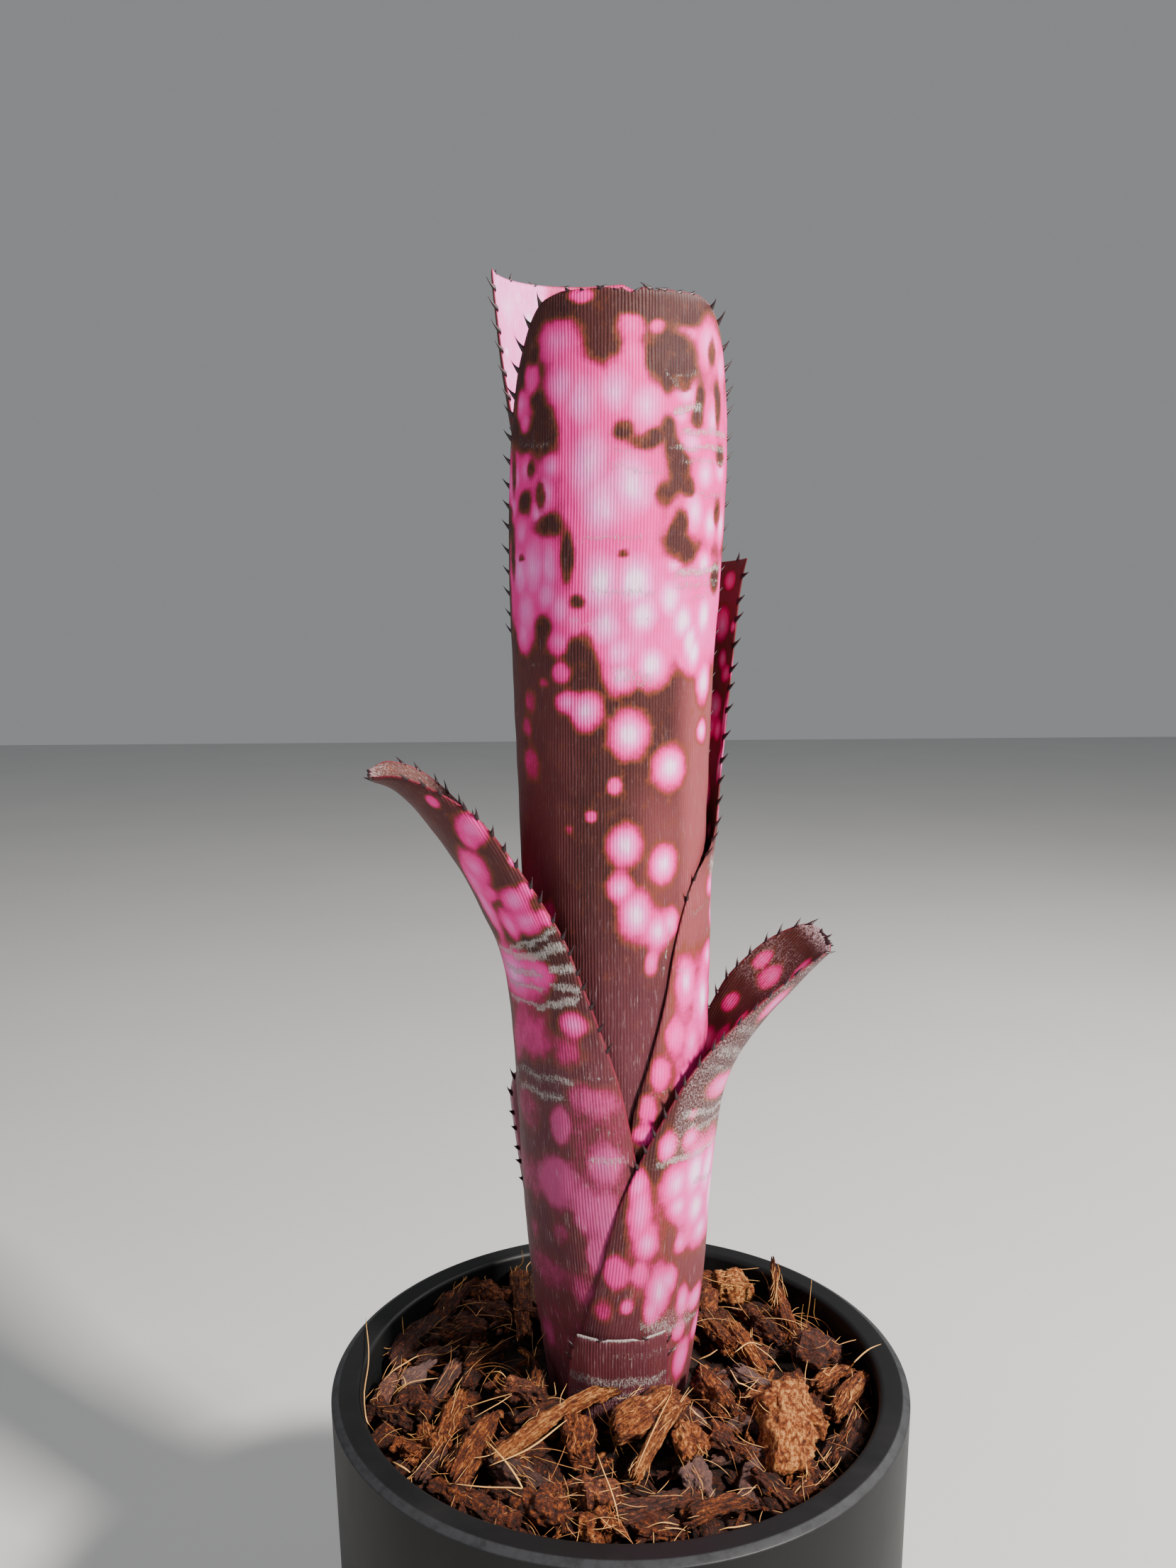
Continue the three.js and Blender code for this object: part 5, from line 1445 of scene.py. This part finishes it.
def kept_in_pot(points):
    """The points, drawn in to the pot's wall and out from the leaves."""
    points = points.copy()
    reach = np.hypot(points[:, 0], points[:, 1])
    wall = inner_wall_radius(np.minimum(points[:, 2], POT_HEIGHT)) - CHIP_WALL_GAP
    wall = np.where(points[:, 2] < POT_HEIGHT, wall, RIM_INNER_RADIUS - CHIP_WALL_GAP)
    points[:, :2] *= (np.minimum(reach, wall) / reach)[:, None]
    height = points[:, 2] - POT_HEIGHT
    lean = axis_lean(height)
    x = points[:, 0] - lean
    reach = np.hypot(x, points[:, 1])
    nest = nest_radius(height) + NEST_ROOM
    grow = np.maximum(nest, reach) / np.maximum(reach, 0.1)
    points[:, 0] = x * grow + lean
    points[:, 1] *= grow
    return points


def torn_outline(rng, count, corners):
    """Points evenly spaced round an uneven polygon about 1 in half-size."""
    turns = 2 * math.pi * (np.arange(corners) + rng.uniform(-0.28, 0.28, corners)) / corners
    reach = rng.uniform(0.82, 1.22, corners)
    y = np.append(reach * np.cos(turns), reach[0] * math.cos(turns[0]))
    z = np.append(reach * np.sin(turns), reach[0] * math.sin(turns[0]))
    along = np.concatenate([[0], np.cumsum(np.hypot(np.diff(y), np.diff(z)))])
    even = np.linspace(0, along[-1], count, endpoint=False)
    return np.interp(even, along, y), np.interp(even, along, z)


def chip_rows(rng, rows, fibrous):
    """Places along a chip from -1 to 1, and its girth there: blunt if fibrous, else round."""
    cap = np.linspace(0.3, 0.9, CHIP_CAP_ROWS)
    body = np.linspace(-0.95, 0.95, rows - 2 * CHIP_CAP_ROWS)
    blunt = np.concatenate([np.full(CHIP_CAP_ROWS, -1), body, np.full(CHIP_CAP_ROWS, 1)])
    blunt_girth = np.concatenate([cap, np.ones(len(body)), cap[::-1]])
    turns = np.linspace(-math.pi / 2, math.pi / 2, rows + 2)[1:-1]
    share = fibrous ** 0.5
    places = share * blunt + (1 - share) * np.sin(turns)
    girth = share * blunt_girth + (1 - share) * np.cos(turns) ** 0.7
    knots = np.linspace(-1, 1, 6)
    return places, girth * np.interp(places, knots, rng.uniform(0.72, 1.12, 6))


def chip_shape(rng, start, end, wide, thick, fibrous, grid):
    """One torn chip between two places: points, faces and grain."""
    rows, sides = grid
    axis = end - start
    long = np.linalg.norm(axis)
    axis = axis / long
    up = unit(np.array([0.0, 0.0, 1.0]) - axis * axis[2])
    side = np.cross(up, axis)
    places, girth = chip_rows(rng, rows, fibrous)
    y, z = torn_outline(rng, sides, rng.integers(5, 8))
    out = np.hypot(y, z)
    slant = rng.uniform(-0.28, 0.28) * wide * y + rng.uniform(-0.28, 0.28) * thick * z
    torn = rng.uniform(-1, 1, sides) * (0.2 + 0.9 * fibrous) + slant
    grooves = rng.uniform(-1, 1, sides) * 0.2 * fibrous
    taper = 1 - rng.uniform(0, 0.4) * fibrous * (places + 1) / 2
    twist = rng.uniform(-0.5, 0.5) * places + rng.uniform(-0.35, 0.35)
    bow = rng.uniform(0.0, 0.1) * long
    x = places[:, None] * (long / 2 + torn[None, :] * smooth_step(0.5, 1, np.abs(places))[:, None])
    scale = (girth * taper)[:, None]
    slow = np.sin(places[:, None] * rng.uniform(1, 4, sides) + rng.uniform(0, 6.28, sides))
    groove = 1 + (grooves * (0.6 + 0.4 * slow)) * 2 / min(wide, thick)
    yy = y * scale * wide / 2 * groove
    zz = z * scale * thick / 2 * groove
    turned_y = yy * np.cos(twist)[:, None] - zz * np.sin(twist)[:, None]
    turned_z = yy * np.sin(twist)[:, None] + zz * np.cos(twist)[:, None]
    turned_z = turned_z + bow * (1 - places[:, None] ** 2) - bow * 0.5
    local = np.stack([x, turned_y, turned_z], axis=-1).reshape(-1, 3)
    away = np.stack([np.zeros_like(x), y / out + 0 * x, z / out + 0 * x], axis=-1).reshape(-1, 3)
    stretch = np.array([1, 1 + 1.6 * fibrous, 1 + 1.6 * fibrous])
    coarse = rough(local, waves(rng, *CHIP_LUMPS)) * (0.95 - 0.5 * fibrous)
    creased = 0.6 - np.abs(rough(local * stretch, waves(rng, *CHIP_CREASES))) * 1.5
    fine = rough(local * stretch, waves(rng, *CHIP_GRAINS)) * (0.42 - 0.12 * fibrous)
    local = local + away * ((coarse + creased * (0.95 - 0.4 * fibrous) + fine) * min(thick, 4) / 4)[:, None]
    ends = local.reshape(rows, sides, 3)[[0, -1]].mean(axis=1)
    local = np.concatenate([local, ends])
    centre = (start + end) / 2
    points = centre + local[:, :1] * axis + local[:, 1:2] * side + local[:, 2:] * up
    faces = ring_faces(rows, sides)
    low, high = rows * sides, rows * sides + 1
    last = (rows - 1) * sides
    faces += [(low, (a + 1) % sides, a) for a in range(sides)]
    faces += [(high, last + a, last + (a + 1) % sides) for a in range(sides)]
    return points, faces, local + rng.uniform(-60, 60, 3)


class Pieces:
    """Many small meshes gathered into one object, with what the material needs at each point."""

    def __init__(self):
        self.points = []
        self.faces = []
        self.grain = []
        self.values = {"tint": [], "cool": [], "stringy": []}
        self.count = 0

    def add(self, points, faces, grain, tint, cool=0.0, stringy=CRUMB_STRINGY):
        self.faces.extend([tuple(self.count + k for k in face) for face in faces])
        self.points.append(points)
        self.grain.append(grain)
        for key, value in (("tint", tint), ("cool", cool), ("stringy", stringy)):
            self.values[key].append(np.full(len(points), value))
        self.count += len(points)

    def make(self, name, material):
        obj = make_object(name, np.concatenate(self.points), self.faces, [material])
        grain = obj.data.attributes.new("grain", "FLOAT_VECTOR", "POINT")
        grain.data.foreach_set("vector", np.concatenate(self.grain).astype(np.float32).ravel())
        for key, parts in self.values.items():
            add_attribute(obj, key, np.concatenate(parts))
        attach(obj, "root")
        return obj


def build_bed(material):
    """The rough bed below the chips, with the sides and bottom that it has inside the pot."""
    field = waves(np.random.default_rng(BED_SEED), *BED_WAVES)
    floor = FLOOR_THICKNESS + BED_FLOOR_GAP
    foot = inner_wall_radius(floor) - BED_WALL_GAP
    wall = inner_wall_radius(POT_HEIGHT + HUSK_WALL_LEVEL - BED_BELOW_CHIPS) - BED_WALL_GAP
    profile = [(0.01, floor), (foot - FLOOR_ROUND, floor), (foot, floor + FLOOR_ROUND)]
    for r in np.linspace(wall, BED_INNER_RADIUS, BED_RINGS):
        profile.append((r, husk_level(r) - BED_BELOW_CHIPS))
    profile += [(r, POT_HEIGHT - depth) for r, depth in BED_WELL]
    points, faces = lathe(profile, BED_SPOKES)
    outside_well = np.hypot(points[:, 0], points[:, 1]) > BED_WELL[0][0] + 0.1
    top = (points[:, 2] > POT_HEIGHT - BED_TOP_DEPTH) & outside_well
    points[top, 2] += BED_ROUGHNESS * rough(points[top], field)
    bed = Pieces()
    bed.add(points, faces, points, BED_PAINTED_SHADE_TINT)
    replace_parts(bed.make("husk_bed", material), "husk_substrate")


def random_chip(rng, place, size, rise, tilt):
    """The two ends of a chip that lies at random at this place."""
    yaw = rng.uniform(0, math.pi * 2)
    pitch = rng.uniform(-tilt, tilt)
    half = size / 2 * np.array(
        [math.cos(yaw) * math.cos(pitch), math.sin(yaw) * math.cos(pitch), math.sin(pitch)]
    )
    centre = np.array([*place, husk_level(math.hypot(*place)) + rise])
    return centre - half, centre + half


def random_place(rng, inner, outer):
    turn = rng.uniform(0, 2 * math.pi)
    reach = math.sqrt(rng.uniform(inner ** 2, outer ** 2))
    return reach * math.cos(turn), reach * math.sin(turn)


def add_loose_chip(pieces, rng, place, size, rise, kind):
    """A chip that lies at random here, with the rest of its form drawn from its kind's ranges."""
    start, end = random_chip(rng, place, size, rise, kind["tilt"])
    wide = rng.uniform(*kind["wide"])
    thick = rng.uniform(*kind["thick"])
    fibrous = rng.random()
    points, faces, grain = chip_shape(rng, start, end, wide, thick, fibrous, kind["grid"])
    cool = 0.0
    stringy = CRUMB_STRINGY
    if kind["grey"]:
        cool = kind["grey"] * (rng.random() < GREY_CHIP_SHARE)
        stringy = fibrous
    pieces.add(kept_in_pot(points), faces, grain, rng.uniform(*kind["tint"]), cool, stringy)


def build_chips(material):
    """Chips seen in the photo, more of them over the rest of the bed, and crumbs between."""
    seen = Pieces()
    rng = np.random.default_rng(CHIPS_SEEN_SEED)
    taken = []
    lying = []
    for ax, ay, bx, by, rise_a, rise_b, wide, thick, fibrous, tint, cool in CHIPS_SEEN:
        start = on_bed(ax, ay, rise_a)
        end = on_bed(bx, by, rise_b)
        points, faces, grain = chip_shape(rng, start, end, wide, thick, fibrous, CHIP_FINE)
        seen.add(kept_in_pot(points), faces, grain, tint, cool, fibrous)
        taken.extend([start[:2], (start + end)[:2] / 2, end[:2]])
        lying.append((start, end, wide, thick, tint))
    seen.make("husk_chips_front", material)
    more = Pieces()
    rng = np.random.default_rng(CHIPS_LOOSE_SEED)
    inner, outer = HUSK_NEST_RADIUS + 2, RIM_INNER_RADIUS - 3
    for _ in range(CHIPS_LOW):
        size = rng.uniform(8, 16)
        place = random_place(rng, inner, outer)
        add_loose_chip(more, rng, place, size, rng.uniform(-1.6, 0.4), LOW_CHIPS)
    for _ in range(CHIPS_HIGH_TRIES):
        place = np.array(random_place(rng, inner, outer))
        if min(np.hypot(*(place - other)) for other in taken) >= CHIPS_APART:
            taken.append(place)
            size = rng.uniform(7, 17)
            add_loose_chip(more, rng, place, size, rng.uniform(1.4, 3.2), HIGH_CHIPS)
    for _ in range(CRUMBS):
        place = random_place(rng, inner - 1, outer + 1)
        size = rng.uniform(1.2, 4)
        add_loose_chip(more, rng, place, size, rng.uniform(-0.6, 1.6), CRUMB_CHIPS)
    more.make("husk_chips_around", material)
    return lying


def fibre_shape(path, half):
    """A thin tapered fibre along a path: points and faces."""
    path = kept_clear(path)
    ways = np.gradient(path, axis=0)
    ways /= np.linalg.norm(ways, axis=1)[:, None]
    first = np.cross(ways, (0.31, 0.22, 0.93))
    first /= np.linalg.norm(first, axis=1)[:, None]
    second = np.cross(ways, first)
    share = np.linspace(0, 1, len(path))
    size = half * (1 - 0.75 * np.abs(2 * share - 1) ** 3)[:, None]
    points = []
    for k in range(FIBRE_SIDES):
        turn = 2 * math.pi * k / FIBRE_SIDES
        points.append(path + size * (first * math.cos(turn) + second * math.sin(turn)))
    points = np.stack(points, axis=1).reshape(-1, 3)
    faces = ring_faces(len(path), FIBRE_SIDES)
    faces.append(tuple(range(FIBRE_SIDES - 1, -1, -1)))
    last = (len(path) - 1) * FIBRE_SIDES
    faces.append(tuple(range(last, last + FIBRE_SIDES)))
    return points, faces


def kept_clear(path):
    """The path, with what is below the rim drawn in to the pot's wall and clear of the leaves."""
    low = path[:, 2] < POT_HEIGHT
    path = path.copy()
    path[low] = kept_in_pot(path[low])
    return path


def smooth_path(places, steps):
    places = np.array(places)
    along = np.concatenate([[0], np.cumsum(np.linalg.norm(np.diff(places, axis=0), axis=1))])
    at = np.linspace(0, along[-1], steps)
    return np.stack([smooth_curve(along, places[:, k])(at) for k in range(3)], axis=-1)


def build_fibres(chips, material):
    """Fibres seen in the photo, splinters torn from the chips, and loose fibres between them."""
    fibres = Pieces()
    rng = np.random.default_rng(FIBRES_SEED)
    for pixels, half in FIBRES_SEEN:
        path = smooth_path([on_bed(*pixel) for pixel in pixels], 2 * FIBRE_STEPS)
        points, faces = fibre_shape(path, half * FIBRE_SEEN_BREADTH)
        fibres.add(points, faces, points, rng.uniform(0.65, 1))
    for start, end, wide, thick, tint in chips:
        axis = unit(end - start)
        side = unit(np.cross((0, 0, 1), axis))
        up = np.cross(axis, side)
        for _ in range(SPLINTERS):
            long = rng.uniform(2, 6.5)
            foot = start + (end - start) * rng.uniform(0.02, 0.85)
            foot = foot + side * wide * rng.uniform(-0.42, 0.42) + up * thick * rng.uniform(0.2, 0.42)
            drift = side * rng.uniform(-0.3, 0.3) * long
            lift = up * rng.uniform(0.5, 1.8)
            way = axis * long * rng.choice((-1, 1))
            path = smooth_path([foot, foot + way * 0.5 + lift * 0.4, foot + way + drift + lift], FIBRE_STEPS)
            points, faces = fibre_shape(path, rng.uniform(0.05, 0.11))
            fibres.add(points, faces, points, np.clip(tint + rng.uniform(-0.2, 0.4), 0, 1))
    share = np.linspace(-1, 1, FIBRE_STEPS)
    for _ in range(FIBRES_LOOSE):
        place = np.array(random_place(rng, HUSK_NEST_RADIUS + 2, RIM_INNER_RADIUS - 2))
        yaw = rng.uniform(0, 2 * math.pi)
        half_long = rng.uniform(1.8, 8.5)
        curve = rng.uniform(-0.35, 0.35) * half_long
        x = place[0] + math.cos(yaw) * share * half_long - math.sin(yaw) * curve * (1 - share ** 2)
        y = place[1] + math.sin(yaw) * share * half_long + math.cos(yaw) * curve * (1 - share ** 2)
        slope = rng.uniform(-0.3, 0.3) * half_long * share
        z = husk_level(np.hypot(x, y)) + rng.uniform(0.4, 3.2) + slope + 0.2 * half_long * (1 - share ** 2)
        points, faces = fibre_shape(np.stack([x, y, z], axis=-1), rng.uniform(0.05, 0.12))
        fibres.add(points, faces, points, rng.uniform(0, 0.6))
    fibres.make("husk_fibres", material)


# Scene

FLOOR_HALF = 3000
WORLD_TONE = (0.36, 0.37, 0.38, 1)
WORLD_STRENGTH = 0.7
LIGHTS_AIM = (0, 0, 0.2)

# Soft lights: name, place in metres, size, watts and colour
LIGHTS = (
    ("key", (0.78, -0.6, 0.95), 0.14, 49, (1.0, 0.95, 0.89)),
    ("fill", (-0.9, -0.8, 0.6), 0.9, 3, (0.9, 0.94, 1.0)),
    ("rim", (0.65, 0.4, 0.75), 0.35, 5, (1.0, 0.98, 0.96)),
)


def build_stage():
    points = [(FLOOR_HALF * x, FLOOR_HALF * y, 0) for x, y in ((-1, -1), (1, -1), (1, 1), (-1, 1))]
    floor = make_object("floor", points, [(0, 1, 2, 3)], [floor_material()], smooth=False)


def build_camera():
    data = bpy.data.cameras.new("camera")
    data.sensor_width = CAMERA_SENSOR
    data.lens = CAMERA_LENS
    camera = bpy.data.objects.new("camera", data)
    bpy.context.scene.collection.objects.link(camera)
    camera.location = Vector(CAMERA_PLACE) * MM
    camera.rotation_euler = camera_turn()
    data.clip_start = 0.01
    data.clip_end = 20
    bpy.context.scene.camera = camera


def area_light(name, place, size, watts, tone):
    data = bpy.data.lights.new(name, "AREA")
    data.energy = watts
    data.size = size
    data.color = tone
    lamp = bpy.data.objects.new(name, data)
    lamp.location = place
    aim = Vector(LIGHTS_AIM) - Vector(place)
    lamp.rotation_euler = aim.to_track_quat("-Z", "Y").to_euler()
    bpy.context.scene.collection.objects.link(lamp)


def build_lights():
    world = bpy.data.worlds.new("world")
    world.use_nodes = True
    background = world.node_tree.nodes["Background"]
    background.inputs["Color"].default_value = WORLD_TONE
    background.inputs["Strength"].default_value = WORLD_STRENGTH
    bpy.context.scene.world = world
    for light in LIGHTS:
        area_light(*light)


build_stage()
build_camera()
build_lights()
build_pot(pot_material())
husk = husk_material()
build_bed(husk)
chips_seen = build_chips(husk)
build_fibres(chips_seen, fibre_material())
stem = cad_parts["stem_and_roots"]
stem.data.materials.clear()
stem.data.materials.append(stem_material())
leaf_materials = [leaf_material(), spine_material()]
for leaf_name, leaf_table in LEAVES.items():
    build_leaf(leaf_name, leaf_table, leaf_materials)
